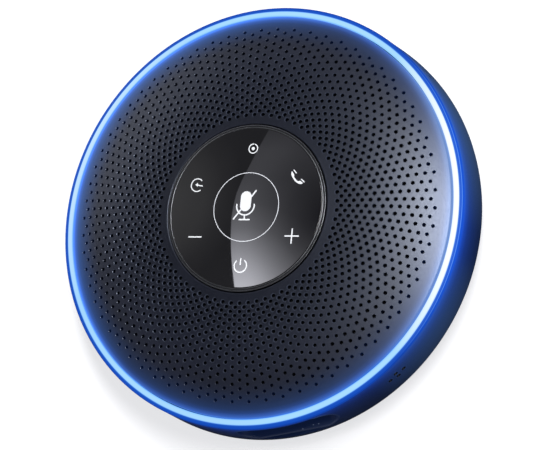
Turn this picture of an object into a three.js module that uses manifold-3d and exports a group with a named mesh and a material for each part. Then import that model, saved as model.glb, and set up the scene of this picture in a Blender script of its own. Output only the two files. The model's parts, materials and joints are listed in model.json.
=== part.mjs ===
// Round conference speakerphone: a low puck with a perforated dome, a round
// touch panel in its middle, a lit ring round its rim and a recessed bay with
// the sockets in its side wall. Millimetres, +Z up, the origin is the middle of
// the circle it stands on, and the user sits on the -Y side.
import * as THREE from "three";
import { mergeVertices } from "three/addons/utils/BufferGeometryUtils.js";
import Module from "manifold-3d";

// ---------------------------------------------------------------- dimensions
const R_HOLES = 54.9; // radius of the outermost ring of grille holes
const Z_HOLES = 27.2; // height of the dome there
const DOME = [0.32722, -0.2742, 0.09066]; // dome height over 1 - r/R_HOLES
const GRILLE_R_IN = 24.75;
const GRILLE_R_OUT = 59.3;
const GRILLE_T = 1.5;
const GAP = 0.3; // gap between pieces that touch

const TRIM_R_OUT = 24.4;
const TRIM_R_IN = 23.6;
const TRIM_Z_TOP = 33.72;
const PANEL_R = 23.3;
const PANEL_Z_EDGE = 33.8;
const PANEL_Z_TOP = 34.0;

const RING_R_IN = 59.65;
const RING_R_OUT = 62.3;
const RING_Z_BOTTOM = 23.7;

const WALL_R_TOP = 62.3;
const WALL_R_LOW = 62.7;
const WALL_R_INNER = 60.6;
const WALL_Z_TOP = 23.4;
const WALL_Z_LOW = 9.6;

const BAY_ANGLE = 11.5; // degrees from the front towards the right
const BAY_Z = 17.45;
const BAY_HALF_LENGTH = 15.0;
const BAY_HALF_HEIGHT = 4.6;
const BAY_WALL = 0.7;
const BAY_FLOOR = 56.5; // distance of the bay's floor from the axis
const JACK_OFFSET = 9.2;

const MIC_ANGLES = [-45, 45, 135, -135];
const MIC_Z = 17.6;
const MIC_HOLE_R = 0.6;
const MIC_HOLES = [[-2.55, 0], [2.55, 0], [0.0, 1.05], [0.0, -1.05]];

const FOOT_R_IN = 47;
const FOOT_R_OUT = 54.5;
const FOOT_H = 1.8;

const SCREW_RING = 50.5;
const SCREW_ANGLES = [56, 124, -124, -56];

const BOARD_Z = 13.8;
const BOARD_T = 1.2;
const BOARD_R = 54.6;

const CELL_R = 9.2;
const CELL_L = 65;
const CELL_X = 38;
const CELL_Z = 13.6;

const CHAMBER_R = 27.6;
const STROKE = 1.5; // the cone's travel each way

const FINE = 56; // segments of the large round pieces
const MID = 36;
const LOW = 20;

// ---------------------------------------------------------------- solids
const wasm = await Module();
wasm.setup();
const rad = THREE.MathUtils.degToRad;

// A closed geometry with merged vertices, no collapsed faces, facing out.
function tidy(geometry) {
  let g = geometry.index ? geometry.toNonIndexed() : geometry.clone();
  const bare = new THREE.BufferGeometry().setAttribute(
    "position",
    g.getAttribute("position"),
  );
  g = mergeVertices(bare, 1e-4);
  const p = g.attributes.position;
  const index = [];
  let volume = 0;
  const a = new THREE.Vector3();
  const b = new THREE.Vector3();
  const c = new THREE.Vector3();
  for (let i = 0; i < g.index.count; i += 3) {
    const [i0, i1, i2] = [0, 1, 2].map((k) => g.index.getX(i + k));
    if (i0 === i1 || i1 === i2 || i0 === i2) continue;
    index.push(i0, i1, i2);
    a.fromBufferAttribute(p, i0);
    b.fromBufferAttribute(p, i1);
    c.fromBufferAttribute(p, i2);
    volume += a.dot(b.cross(c));
  }
  if (volume < 0)
    for (let i = 0; i < index.length; i += 3)
      [index[i + 1], index[i + 2]] = [index[i + 2], index[i + 1]];
  g.setIndex(index);
  return g;
}

function toSolid(geometry) {
  const g = tidy(geometry);
  return new wasm.Manifold(
    new wasm.Mesh({
      numProp: 3,
      vertProperties: new Float32Array(g.attributes.position.array),
      triVerts: new Uint32Array(g.index.array),
    }),
  );
}

function toGeometry(solid) {
  const m = solid.getMesh();
  const n = m.numProp;
  const v = new Float32Array(m.numVert * 3);
  for (let i = 0; i < m.numVert; i++)
    v.set(m.vertProperties.subarray(i * n, i * n + 3), i * 3);
  return tidy(
    new THREE.BufferGeometry()
      .setAttribute("position", new THREE.BufferAttribute(v, 3))
      .setIndex(Array.from(m.triVerts)),
  );
}

// A body of revolution about +Z from [radius, height] pairs.
function turned(points, segments, closed = true) {
  const profile = points.map(([r, z]) => new THREE.Vector2(r, z));
  const onAxis = points[0][0] === 0 && points[points.length - 1][0] === 0;
  if (closed && !onAxis) profile.push(profile[0].clone());
  return tidy(new THREE.LatheGeometry(profile, segments).rotateX(Math.PI / 2));
}

function box(dx, dy, dz, x = 0, y = 0, z = 0) {
  return new THREE.BoxGeometry(dx, dy, dz).translate(x, y, z);
}

// A round bar standing on z0.
function post(r, z0, z1, x = 0, y = 0, segments = LOW) {
  return new THREE.CylinderGeometry(r, r, z1 - z0, segments)
    .rotateX(Math.PI / 2)
    .translate(x, y, (z0 + z1) / 2);
}

// A round bar along Y.
function barY(r, y0, y1, x, z, segments = LOW) {
  return new THREE.CylinderGeometry(r, r, y1 - y0, segments).translate(
    x,
    (y0 + y1) / 2,
    z,
  );
}

// A round-ended slot shape in x and z, pushed along Y from y0 to y1.
function slotY(halfLength, halfHeight, y0, y1, z, x = 0, segments = 10) {
  const s = new THREE.Shape();
  const k = halfLength - halfHeight;
  s.moveTo(-k, -halfHeight);
  s.lineTo(k, -halfHeight);
  s.absarc(k, 0, halfHeight, -Math.PI / 2, Math.PI / 2, false);
  s.lineTo(-k, halfHeight);
  s.absarc(-k, 0, halfHeight, Math.PI / 2, (3 * Math.PI) / 2, false);
  return new THREE.ExtrudeGeometry(s, {
    depth: y1 - y0,
    bevelEnabled: false,
    curveSegments: segments,
  })
    .rotateX(Math.PI / 2)
    .translate(x, y1, z);
}

const join = (...geometries) =>
  toGeometry(
    geometries.map(toSolid).reduce((sum, next) => sum.add(next)),
  );
const cut = (geometry, ...tools) =>
  toGeometry(
    tools.map(toSolid).reduce((left, tool) => left.subtract(tool), toSolid(geometry)),
  );

const domeZ = (r) => {
  const u = 1 - r / R_HOLES;
  return Z_HOLES + R_HOLES * (DOME[0] * u + DOME[1] * u * u + DOME[2] * u ** 3);
};
// Points along the dome between two radii, sunk below it by depth.
const dome = (r0, r1, depth, steps) =>
  Array.from({ length: steps + 1 }, (_, i) => {
    const r = r0 + ((r1 - r0) * i) / steps;
    return [r, domeZ(r) - depth];
  });

// ---------------------------------------------------------------- materials
const material = (color, roughness, metalness = 0, more = {}) =>
  new THREE.MeshStandardMaterial({ color, roughness, metalness, ...more });
const navy = material(0x1c2233, 0.42);
const glossBlack = material(0x06070a, 0.08);
const trimMetal = material(0x2a2d33, 0.25, 0.8);
const diffuser = material(0xdcecff, 0.4, 0, {
  emissive: 0x3a86ff,
  emissiveIntensity: 1,
});
const rubber = material(0x14161a, 0.85);
const board = material(0x123a2a, 0.55);
const steel = material(0xb9bcc2, 0.3, 1);
const blackPlastic = material(0x101216, 0.6);
const cloth = material(0x0c0d10, 0.95);
const copper = material(0x9a5a2c, 0.4, 0.9);
const ferrite = material(0x2a2a2c, 0.7, 0.2);
const cellWrap = material(0x24508c, 0.45);
const label = material(0x5a5d64, 0.6);

const root = new THREE.Group();
function part(name, geometry, surface, parent = root) {
  const mesh = new THREE.Mesh(geometry, surface);
  mesh.name = name;
  parent.add(mesh);
  return mesh;
}
function group(parent = root, z = 0, turn = 0) {
  const g = new THREE.Group();
  g.position.z = z;
  g.rotation.z = rad(turn);
  parent.add(g);
  return g;
}

// ---------------------------------------------------------------- top cover
part(
  "grille_cover",
  turned(
    [
      ...dome(GRILLE_R_IN, GRILLE_R_OUT, 0, 7),
      [GRILLE_R_OUT, 24.0],
      [GRILLE_R_OUT - 1.4, 24.0],
      ...dome(GRILLE_R_OUT - 1.4, GRILLE_R_IN + 1.4, GRILLE_T, 3),
      [GRILLE_R_IN + 1.4, 30.6],
      [GRILLE_R_IN, 30.6],
    ],
    FINE,
  ),
  navy,
);
part(
  "acoustic_mesh",
  turned(
    [
      ...dome(26.8, 57.2, GRILLE_T + 0.5, 3),
      ...dome(57.2, 26.8, GRILLE_T + 0.8, 3),
    ],
    MID,
  ),
  cloth,
);

// ---------------------------------------------------------------- touch panel
part(
  "panel_trim_ring",
  turned(
    [
      [TRIM_R_IN, 31.2],
      [TRIM_R_OUT, 31.2],
      [TRIM_R_OUT, TRIM_Z_TOP - 0.15],
      [TRIM_R_OUT - 0.15, TRIM_Z_TOP],
      [TRIM_R_IN, TRIM_Z_TOP],
    ],
    FINE,
  ),
  trimMetal,
);
part(
  "touch_panel",
  turned(
    [
      [0, 32.4],
      [PANEL_R, 32.4],
      [PANEL_R, PANEL_Z_EDGE - 0.2],
      [PANEL_R - 0.2, PANEL_Z_EDGE],
      [PANEL_R * 0.5, PANEL_Z_TOP - 0.05],
      [0, PANEL_Z_TOP],
    ],
    FINE,
  ),
  glossBlack,
);
part(
  "touch_sensor_board",
  turned([[0, 31.1], [22.8, 31.1], [22.8, 32.1], [0, 32.1]], MID),
  board,
);
part(
  "panel_carrier",
  cut(
    turned(
      [
        [0, 27.6],
        [8, 28.2],
        [18, 29.1],
        [26.1, 29.2],
        [26.1, 30.3],
        [24.4, 30.3],
        [24.4, 30.8],
        [0, 30.8],
      ],
      MID,
    ),
    box(7, 1.6, 5, 4, -21.5, 29.5),
  ),
  blackPlastic,
);

// ---------------------------------------------------------------- lit rim
part(
  "light_ring",
  turned(
    [
      [RING_R_IN, RING_Z_BOTTOM],
      [RING_R_OUT, RING_Z_BOTTOM],
      [RING_R_OUT, 24.3],
      [61.95, 24.62],
      [60.2, 25.3],
      [RING_R_IN, 25.35],
    ],
    FINE,
  ),
  diffuser,
);
{
  // An arc of circuit board under the diffuser, open over the socket bay.
  const arc = new THREE.Shape();
  const from = rad(-58);
  const to = rad(262);
  arc.absarc(0, 0, 60.3, from, to, false);
  arc.absarc(0, 0, 56.9, to, from, true);
  const strip = new THREE.ExtrudeGeometry(arc, {
    depth: 0.8,
    bevelEnabled: false,
    curveSegments: 32,
  }).translate(0, 0, 21.6);
  const lamps = Array.from({ length: 12 }, (_, i) =>
    box(1.4, 2.2, 0.85, 59.2, 0, 22.78).rotateZ(rad(-48 + i * 27)),
  );
  part("led_board", join(strip, ...lamps), board);
}

// ---------------------------------------------------------------- side wall
{
  const wall = turned(
    [
      [WALL_R_INNER, WALL_Z_LOW],
      [WALL_R_LOW - 0.35, WALL_Z_LOW],
      [WALL_R_LOW, WALL_Z_LOW + 0.7],
      [WALL_R_LOW - 0.02, 12],
      [WALL_R_TOP, WALL_Z_TOP],
      [WALL_R_INNER, WALL_Z_TOP],
    ],
    FINE,
  );
  const bosses = SCREW_ANGLES.flatMap((angle) => [
    post(2.9, 6.3, 22.8, SCREW_RING, 0, 16).rotateZ(rad(angle)),
    box(9.6, 1.6, 9.0, 56.2, 0, 16.4).rotateZ(rad(angle)),
  ]);
  const shafts = SCREW_ANGLES.map((angle) =>
    post(1.4, 6, 16, SCREW_RING, 0, 12).rotateZ(rad(angle)),
  );
  const bay = slotY(
    BAY_HALF_LENGTH + BAY_WALL + GAP,
    BAY_HALF_HEIGHT + BAY_WALL + GAP,
    -66,
    -58,
    BAY_Z,
  ).rotateZ(rad(BAY_ANGLE));
  const pinholes = MIC_ANGLES.flatMap((angle) =>
    MIC_HOLES.map(([along, up]) =>
      new THREE.CylinderGeometry(MIC_HOLE_R, MIC_HOLE_R, 6, 8)
        .rotateZ(Math.PI / 2)
        .translate(62, along, MIC_Z + up)
        .rotateZ(rad(angle)),
    ),
  );
  part("main_housing", cut(join(wall, ...bosses), ...shafts, bay, ...pinholes), navy);
}

// ---------------------------------------------------------------- base
{
  const shell = turned(
    [
      [0, 1.0],
      [FOOT_R_IN - GAP, 1.0],
      [FOOT_R_IN - GAP, FOOT_H + GAP],
      [FOOT_R_OUT + GAP, FOOT_H + GAP],
      [FOOT_R_OUT + GAP, 1.0],
      [55.8, 1.0],
      [58.3, 3.5],
      [60.8, 7.0],
      [62.1, 9.3],
      [60.3, 9.3],
      [60.3, 11.6],
      [59.0, 11.6],
      [59.0, 9.0],
      [55.6, 3.4],
      [45.5, 3.4],
      [44.5, 2.6],
      [0, 2.6],
    ],
    FINE,
  );
  const pads = SCREW_ANGLES.map((angle) =>
    post(4.0, 3.0, 6.0, SCREW_RING, 0, 20).rotateZ(rad(angle)),
  );
  const standoffs = [
    post(2.2, 3.0, BOARD_Z - GAP, -35.5, -37.8, 16),
    post(2.2, 3.0, BOARD_Z - GAP, 35.5, -37.8, 16),
  ];
  const holes = SCREW_ANGLES.flatMap((angle) => [
    post(2.6, 0.5, 4.4, SCREW_RING, 0, 16).rotateZ(rad(angle)),
    post(1.4, 4.0, 7, SCREW_RING, 0, 12).rotateZ(rad(angle)),
  ]);
  const threads = [-1, 1].map((s) => post(1.1, 6, 14.5, s * 35.5, -37.8, 12));
  part("base_cover", cut(join(shell, ...pads, ...standoffs), ...holes, ...threads), navy);
}
part(
  "foot_ring",
  turned(
    [
      [FOOT_R_IN, 0],
      [FOOT_R_OUT - 0.3, 0],
      [FOOT_R_OUT, 0.3],
      [FOOT_R_OUT, FOOT_H],
      [FOOT_R_IN, FOOT_H],
    ],
    FINE,
  ),
  rubber,
);
part(
  "rating_plate",
  turned([[0, 0.5], [22, 0.5], [22, 0.7], [0, 0.7]], MID),
  label,
);
SCREW_ANGLES.forEach((angle, i) => {
  const head = cut(
    turned([[0, 2.6], [2.0, 2.6], [2.2, 2.8], [2.2, 4.1], [1.1, 4.1], [1.1, 14.2], [0.6, 15], [0, 15]], 16),
    box(2.4, 0.5, 1.0, 0, 0, 2.7),
    box(0.5, 2.4, 1.0, 0, 0, 2.7),
  );
  const turn = group(root, 0, angle);
  part("base_screw_" + (i + 1), head, steel, turn).position.x = SCREW_RING;
});

// ---------------------------------------------------------------- socket bay
{
  const bay = group(root, 0, BAY_ANGLE);
  const tray = cut(
    slotY(BAY_HALF_LENGTH + BAY_WALL, BAY_HALF_HEIGHT + BAY_WALL, -63.5, -(BAY_FLOOR - 1.2), BAY_Z),
    slotY(BAY_HALF_LENGTH, BAY_HALF_HEIGHT, -66, -BAY_FLOOR, BAY_Z),
    // the mouth follows the round wall
    turned([[62.25, 5], [70, 5], [70, 30], [62.25, 30]], FINE),
    slotY(4.8, 1.95, -58, -54, BAY_Z, 0, 6),
    barY(2.1, -58, -54, -JACK_OFFSET, BAY_Z, 20),
    barY(2.1, -58, -54, JACK_OFFSET, BAY_Z, 20),
  );
  part("port_bezel", tray, blackPlastic, bay);
  const shell = cut(
    slotY(4.45, 1.62, -56.6, -49.4, BAY_Z, 0, 6),
    slotY(4.15, 1.32, -57, -50.2, BAY_Z, 0, 6),
  );
  part("usb_c_receptacle", shell, steel, bay);
  part("usb_c_tongue", box(6.6, 5.0, 0.7, 0, -53.2, BAY_Z), blackPlastic, bay);
  [["left", -1], ["right", 1]].forEach(([side, s]) => {
    part(
      "audio_jack_" + side,
      cut(
        join(
          box(6.2, 10.2, 4.2, s * JACK_OFFSET, -49.8, BAY_Z),
          barY(1.8, -56.3, -54.5, s * JACK_OFFSET, BAY_Z, 20),
        ),
        barY(1.3, -57, -46, s * JACK_OFFSET, BAY_Z, 16),
      ),
      blackPlastic,
      bay,
    );
  });
}

// ---------------------------------------------------------------- microphones
MIC_ANGLES.forEach((angle, i) => {
  const side = group(root, 0, angle);
  const boot = cut(
    box(2.3, 9.0, 5.6, 58.95, 0, MIC_Z),
    ...MIC_HOLES.map(([along, up]) =>
      new THREE.CylinderGeometry(0.45, 0.45, 2, 8)
        .rotateZ(Math.PI / 2)
        .translate(59.6, along, MIC_Z + up),
    ),
    box(1.4, 6.4, 3.6, 58.2, 0, MIC_Z),
  );
  part("mic_boot_" + (i + 1), boot, rubber, side);
  part(
    "mic_board_" + (i + 1),
    join(
      box(0.9, 10, 6.4, 56.9, 0, MIC_Z),
      box(0.9, 3.6, 2.6, 57.7, 0, MIC_Z),
    ),
    board,
    side,
  );
});

// ---------------------------------------------------------------- main board
{
  const outline = new THREE.Shape();
  const a0 = Math.asin(-35.2 / BOARD_R);
  outline.absarc(0, 0, BOARD_R, -Math.PI - a0, a0, false);
  outline.closePath();
  const plate = new THREE.ExtrudeGeometry(outline, {
    depth: BOARD_T,
    bevelEnabled: false,
    curveSegments: 20,
  }).translate(0, 0, BOARD_Z);
  const notches = SCREW_ANGLES.filter((a) => a < 0).flatMap((angle) => [
    post(3.4, 12, 17, SCREW_RING, 0, 16).rotateZ(rad(angle)),
    box(8, 6.8, 5, SCREW_RING + 4, 0, 14.5).rotateZ(rad(angle)),
  ]);
  const holes = [-1, 1].map((s) => post(1.4, 12, 17, s * 35.5, -37.8, 12));
  part("main_board", cut(plate, ...notches, ...holes), board);
  const top = BOARD_Z + BOARD_T + GAP;
  [-1, 1].forEach((s, i) => {
    part(
      "board_screw_" + (i + 1),
      join(
        post(2.1, top, top + 1.2, s * 35.5, -37.8, 12),
        post(0.8, 7, top + 0.5, s * 35.5, -37.8, 10),
      ),
      steel,
    );
  });
  part(
    "processor_shield",
    box(12.5, 8.5, 2.4, -11.4, -42.4, top + 1.2),
    steel,
  );
  part("amplifier_chip", box(5, 5, 0.9, -21, -44.5, top + 0.45), blackPlastic);
  part("battery_connector", box(6, 4, 3.2, 21, -38.2, top + 1.6), material(0xe8e2d2, 0.5));
  part("speaker_connector", box(5, 4, 3.2, -17.5, -50.0, top + 1.6), material(0xe8e2d2, 0.5));
  part("touch_connector", box(8, 2.6, 1.4, 4, -37.4, top + 0.7), blackPlastic);
}

// ---------------------------------------------------------------- battery
[["left", -1], ["right", 1]].forEach(([side, s]) => {
  part(
    "battery_cell_" + side,
    join(
      new THREE.CylinderGeometry(CELL_R, CELL_R, CELL_L - 1.6, 32).translate(s * CELL_X, -0.8, CELL_Z),
      new THREE.CylinderGeometry(CELL_R - 1.2, CELL_R, 0.6, 32).translate(s * CELL_X, CELL_L / 2 - 1.3, CELL_Z),
      new THREE.CylinderGeometry(3, 3, 1.4, 16).translate(s * CELL_X, CELL_L / 2 - 0.7, CELL_Z),
    ),
    cellWrap,
  );
  part(
    "battery_cradle_" + side,
    cut(
      box(19.0, 48, 5.2, s * CELL_X, 0, 3.7 + 2.6),
      barY(CELL_R + 0.35, -40, 40, s * CELL_X, CELL_Z, 32),
    ),
    blackPlastic,
  );
});

// ---------------------------------------------------------------- loudspeaker
part(
  "speaker_enclosure",
  turned(
    [
      [0, 3.0],
      [CHAMBER_R, 3.0],
      [CHAMBER_R, 23.2],
      [23.2, 23.2],
      [23.2, 22.0],
      [CHAMBER_R - 1.2, 22.0],
      [CHAMBER_R - 1.2, 4.2],
      [0, 4.2],
    ],
    MID,
  ),
  blackPlastic,
);
const driver = group(root, 0, 0);
part(
  "speaker_yoke",
  turned([[0, 5.0], [15.5, 5.0], [15.5, 7.0], [6.6, 7.0], [6.6, 15.0], [0, 15.0]], 32),
  steel,
  driver,
);
part(
  "speaker_magnet",
  turned([[9.4, 7.3], [17.0, 7.3], [17.0, 12.0], [9.4, 12.0]], 32),
  ferrite,
  driver,
);
part(
  "speaker_top_plate",
  turned([[8.7, 12.3], [16.0, 12.3], [16.0, 14.6], [8.7, 14.6]], 32),
  steel,
  driver,
);
{
  const frame = turned(
    [
      [11.0, 14.9],
      [16.8, 14.9],
      [22.4, 22.0],
      [22.8, 23.5],
      [25.0, 23.5],
      [25.0, 24.7],
      [21.2, 24.7],
      [20.6, 22.6],
      [15.8, 16.1],
      [11.0, 16.1],
    ],
    28,
  );
  const windows = [0, 90, 180, 270].map((a) =>
    box(12, 14, 3.6, 20, 0, 19.2).rotateZ(rad(a)),
  );
  part("speaker_basket", cut(frame, ...windows), blackPlastic, driver);
}
const moving = group(driver, 0, 0);
part(
  "voice_coil",
  turned([[7.3, 9.6], [8.1, 9.6], [8.1, 18.4], [7.3, 18.4]], 32),
  copper,
  moving,
);
part(
  "speaker_cone",
  turned([[8.45, 18.3], [8.45, 18.9], [19.3, 24.6], [19.3, 23.9]], 40),
  cloth,
  moving,
);
part(
  "dust_cap",
  turned(
    [
      [0, 21.2],
      [3.0, 20.9],
      [5.8, 20.0],
      [8.1, 18.75],
      [7.4, 18.75],
      [5.4, 19.6],
      [2.8, 20.4],
      [0, 20.7],
    ],
    24,
  ),
  cloth,
  moving,
);
part(
  "speaker_surround",
  turned(
    [
      [19.65, 24.1],
      [21.4, 26.1],
      [23.0, 25.0],
      [23.4, 25.0],
      [23.4, 25.5],
      [21.4, 26.7],
      [19.65, 24.7],
    ],
    28,
  ),
  rubber,
  driver,
);
part(
  "speaker_spider",
  turned(
    [
      [8.4, 17.3],
      [10.2, 16.9],
      [11.4, 17.2],
      [12.6, 16.6],
      [13.8, 16.9],
      [15.2, 16.5],
      [15.2, 16.8],
      [13.8, 17.2],
      [12.6, 16.9],
      [11.4, 17.5],
      [10.2, 17.2],
      [8.4, 17.6],
    ],
    24,
  ),
  cloth,
  driver,
);
part(
  "speaker_gasket",
  turned([[23.7, 25.0], [25.0, 25.0], [25.0, 26.0], [23.7, 26.0]], 32),
  rubber,
  driver,
);

// ---------------------------------------------------------------- inner frame
part(
  "inner_frame",
  cut(
    turned([[28.0, 23.1], [56.3, 23.1], [56.3, 24.2], [28.0, 24.2]], MID),
    box(7.5, 4, 4, 4, -31.5, 23.6),
    box(4, 4, 4, -22, -26, 23.6),
  ),
  blackPlastic,
);

// ---------------------------------------------------------------- leads
// A flat or round lead swept along straight runs.
function lead(points, halfWidth, halfThickness, sides = 0) {
  const section = new THREE.Shape();
  if (sides) section.absarc(0, 0, halfWidth, 0, 2 * Math.PI, false);
  else {
    section.moveTo(-halfThickness, -halfWidth);
    section.lineTo(halfThickness, -halfWidth);
    section.lineTo(halfThickness, halfWidth);
    section.lineTo(-halfThickness, halfWidth);
  }
  const path = new THREE.CatmullRomCurve3(
    points.map((p) => new THREE.Vector3(...p)),
    false,
    "centripetal",
  );
  return tidy(
    new THREE.ExtrudeGeometry(section, {
      steps: points.length * 3,
      extrudePath: path,
      bevelEnabled: false,
      curveSegments: Math.max(2, sides / 2),
    }),
  );
}
part(
  "touch_flex",
  join(
    box(6, 0.3, 12.3, 4, -31.2, 22.45),
    box(6, 4.6, 0.3, 4, -33.4, 16.45),
    box(6, 10.0, 0.3, 4, -26.35, 28.45),
    box(6, 0.3, 2.55, 4, -21.5, 29.575),
  ),
  material(0x8a5a1c, 0.5),
);
part(
  "speaker_lead",
  lead([[-18.0, -47.4, 17.0], [-19.5, -43.0, 19.6], [-21.0, -36.0, 20.6], [-20.4, -30.4, 20.4], [-21.2, -26.8, 22.2], [-22.0, -25.9, 24.6], [-19.2, -20.6, 26.6]], 0.7, 0.7, 8),
  material(0xa01818, 0.5),
);
part(
  "battery_lead_right",
  lead([[24.9, -37.4, 17.2], [28.5, -36.0, 18.4], [33.5, -34.3, 18.0], [37.5, -33.6, 15.6]], 0.7, 0.7, 8),
  material(0xa01818, 0.5),
);
part(
  "battery_lead_left",
  lead([[17.1, -37.4, 17.2], [13, -35.0, 18.2], [4, -33.4, 18.3], [-12, -33.4, 17.8], [-26, -33.8, 17.6], [-33, -34.4, 17.0], [-37.0, -33.4, 15.4]], 0.7, 0.7, 8),
  material(0x1a1a1e, 0.5),
);

export default root;
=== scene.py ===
import json
import math

import bmesh
import bpy
import numpy as np
from mathutils import Matrix, Vector


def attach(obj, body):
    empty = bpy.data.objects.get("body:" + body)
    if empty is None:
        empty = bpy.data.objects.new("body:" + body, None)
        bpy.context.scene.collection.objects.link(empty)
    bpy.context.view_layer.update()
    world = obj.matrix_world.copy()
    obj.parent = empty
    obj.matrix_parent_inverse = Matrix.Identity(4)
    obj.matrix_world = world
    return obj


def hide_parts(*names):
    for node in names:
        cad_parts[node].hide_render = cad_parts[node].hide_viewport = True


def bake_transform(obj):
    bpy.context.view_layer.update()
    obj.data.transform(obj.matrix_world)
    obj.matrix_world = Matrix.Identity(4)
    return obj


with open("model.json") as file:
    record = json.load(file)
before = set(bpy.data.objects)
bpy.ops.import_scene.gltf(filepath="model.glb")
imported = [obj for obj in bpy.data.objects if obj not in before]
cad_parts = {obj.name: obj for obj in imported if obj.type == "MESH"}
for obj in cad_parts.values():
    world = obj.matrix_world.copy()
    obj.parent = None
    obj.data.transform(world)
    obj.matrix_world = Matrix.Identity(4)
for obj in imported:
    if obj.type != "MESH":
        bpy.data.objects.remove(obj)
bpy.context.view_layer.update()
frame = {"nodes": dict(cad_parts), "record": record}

MM = 0.001
BODY = "housing"
rad = math.radians
collection = bpy.context.scene.collection

# --------------------------------------------------------------- dimensions
R_HOLES, Z_HOLES = 54.9, 27.2
DOME = (0.32722, -0.2742, 0.09066)
RING_RADII = np.array([1, .9783, .9567, .9353, .9136, .8921, .8705, .8491, .8275, .806, .7843, .763, .7412, .72,
                       .698, .677, .6548, .6339, .6117, .5907, .5686, .5478, .5255, .5045]) * R_HOLES
PER_RING = 66
GRILLE_T = 1.5
BAY_TURN = rad(11.5)
BAY_Z, BAY_FLOOR = 17.45, 56.5
BAY_L, BAY_H = 15.0, 4.6
MIC_ANGLES = (-45, 45, 135, -135)
MIC_Z = 17.6
MIC_HOLES = ((-2.55, 0.0), (2.55, 0.0), (0.0, 1.05), (0.0, -1.05))


def dome_z(r):
    u = 1 - np.asarray(r, float) / R_HOLES
    return Z_HOLES + R_HOLES * (DOME[0] * u + DOME[1] * u**2 + DOME[2] * u**3)


def dome_slope(r):
    u = 1 - np.asarray(r, float) / R_HOLES
    return -(DOME[0] + 2 * DOME[1] * u + 3 * DOME[2] * u**2)


# --------------------------------------------------------------- mesh helpers
def make(name, verts, faces, materials, smooth_angle=35, material_index=None):
    me = bpy.data.meshes.new(name)
    me.from_pydata([tuple(v) for v in np.asarray(verts, float) * MM], [], [tuple(int(i) for i in f) for f in faces])
    me.update()
    for m in materials if isinstance(materials, (list, tuple)) else [materials]:
        me.materials.append(m)
    if material_index is not None:
        me.polygons.foreach_set("material_index", np.asarray(material_index, np.int32))
    me.polygons.foreach_set("use_smooth", np.ones(len(me.polygons), bool))
    if smooth_angle is not None:
        me.set_sharp_from_angle(angle=rad(smooth_angle))
    ob = bpy.data.objects.new(name, me)
    collection.objects.link(ob)
    return ob


def lathe(name, profile, materials, segments=256, smooth_angle=35, index_of=None, close=True):
    """A body of revolution from (r, z) pairs that run counter-clockwise in the r-z plane."""
    pts = [tuple(map(float, p)) for p in profile]
    a = np.linspace(0, 2 * math.pi, segments, endpoint=False)
    verts, rows = [], []
    for r, z in pts:
        if r < 1e-9:
            rows.append([len(verts)] * segments)
            verts.append((0, 0, z))
        else:
            rows.append(list(range(len(verts), len(verts) + segments)))
            verts += [(r * c, r * s, z) for c, s in zip(np.cos(a), np.sin(a))]
    faces, index = [], []
    pairs = [(i, i + 1) for i in range(len(pts) - 1)]
    if close and not (pts[0][0] < 1e-9 and pts[-1][0] < 1e-9):
        pairs.append((len(pts) - 1, 0))
    for i, j in pairs:
        for k in range(segments):
            n = (k + 1) % segments
            f = []
            for v in (rows[i][k], rows[i][n], rows[j][n], rows[j][k]):
                if v not in f:
                    f.append(v)
            if len(f) > 2:
                faces.append(f)
                index.append(index_of(i) if index_of else 0)
    return make(name, verts, faces, materials, smooth_angle, index)


def arc(cx, cz, r, a0, a1, n):
    return [(cx + r * math.cos(rad(a0 + (a1 - a0) * i / n)), cz + r * math.sin(rad(a0 + (a1 - a0) * i / n))) for i in range(n + 1)]


def boolean(ob, tools, operation="DIFFERENCE"):
    for t in tools:
        m = ob.modifiers.new("cut", "BOOLEAN")
        m.operation = operation
        m.solver = "EXACT"
        m.object = t
        bpy.context.view_layer.update()
        dg = bpy.context.evaluated_depsgraph_get()
        me = bpy.data.meshes.new_from_object(ob.evaluated_get(dg))
        ob.modifiers.clear()
        old = ob.data
        ob.data = me
        bpy.data.meshes.remove(old)
    for t in tools:
        bpy.data.objects.remove(t)
    return ob


def join_tools(tools):
    """Several separate closed tools in one object."""
    bm = bmesh.new()
    for t in tools:
        me = t.data.copy()
        me.transform(t.matrix_world)
        bm.from_mesh(me)
        bpy.data.meshes.remove(me)
        bpy.data.objects.remove(t)
    me = bpy.data.meshes.new("tool")
    bm.to_mesh(me)
    bm.free()
    ob = bpy.data.objects.new("tool", me)
    collection.objects.link(ob)
    return ob


def tube(name, outline, axis0, axis1, frame_fn):
    """A closed prism: outline is (a, b) pairs, frame_fn(a, b, c) gives a point, c runs from axis0 to axis1."""
    n = len(outline)
    verts = [frame_fn(a, b, axis0) for a, b in outline] + [frame_fn(a, b, axis1) for a, b in outline]
    faces = [list(range(n))[::-1], list(range(n, 2 * n))] + [[i, (i + 1) % n, n + (i + 1) % n, n + i] for i in range(n)]
    me = bpy.data.meshes.new(name)
    me.from_pydata([tuple(np.array(v) * MM) for v in verts], [], faces)
    bm = bmesh.new()
    bm.from_mesh(me)
    bmesh.ops.recalc_face_normals(bm, faces=bm.faces)
    bm.to_mesh(me)
    bm.free()
    ob = bpy.data.objects.new(name, me)
    collection.objects.link(ob)
    return ob


# --------------------------------------------------------------- materials
def nodes_of(name):
    m = bpy.data.materials.new(name)
    m.use_nodes = True
    nt = m.node_tree
    return m, nt, nt.nodes["Principled BSDF"]


def node(nt, kind, **values):
    n = nt.nodes.new(kind)
    for k, v in values.items():
        if k in n.inputs.keys():
            n.inputs[k].default_value = v
        else:
            setattr(n, k, v)
    return n


def noise_of(nt, scale, detail=3.0, rough=0.5):
    tc = node(nt, "ShaderNodeTexCoord")
    n = node(nt, "ShaderNodeTexNoise")
    n.inputs["Scale"].default_value = scale
    n.inputs["Detail"].default_value = detail
    n.inputs["Roughness"].default_value = rough
    nt.links.new(tc.outputs["Object"], n.inputs["Vector"])
    return n


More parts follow.
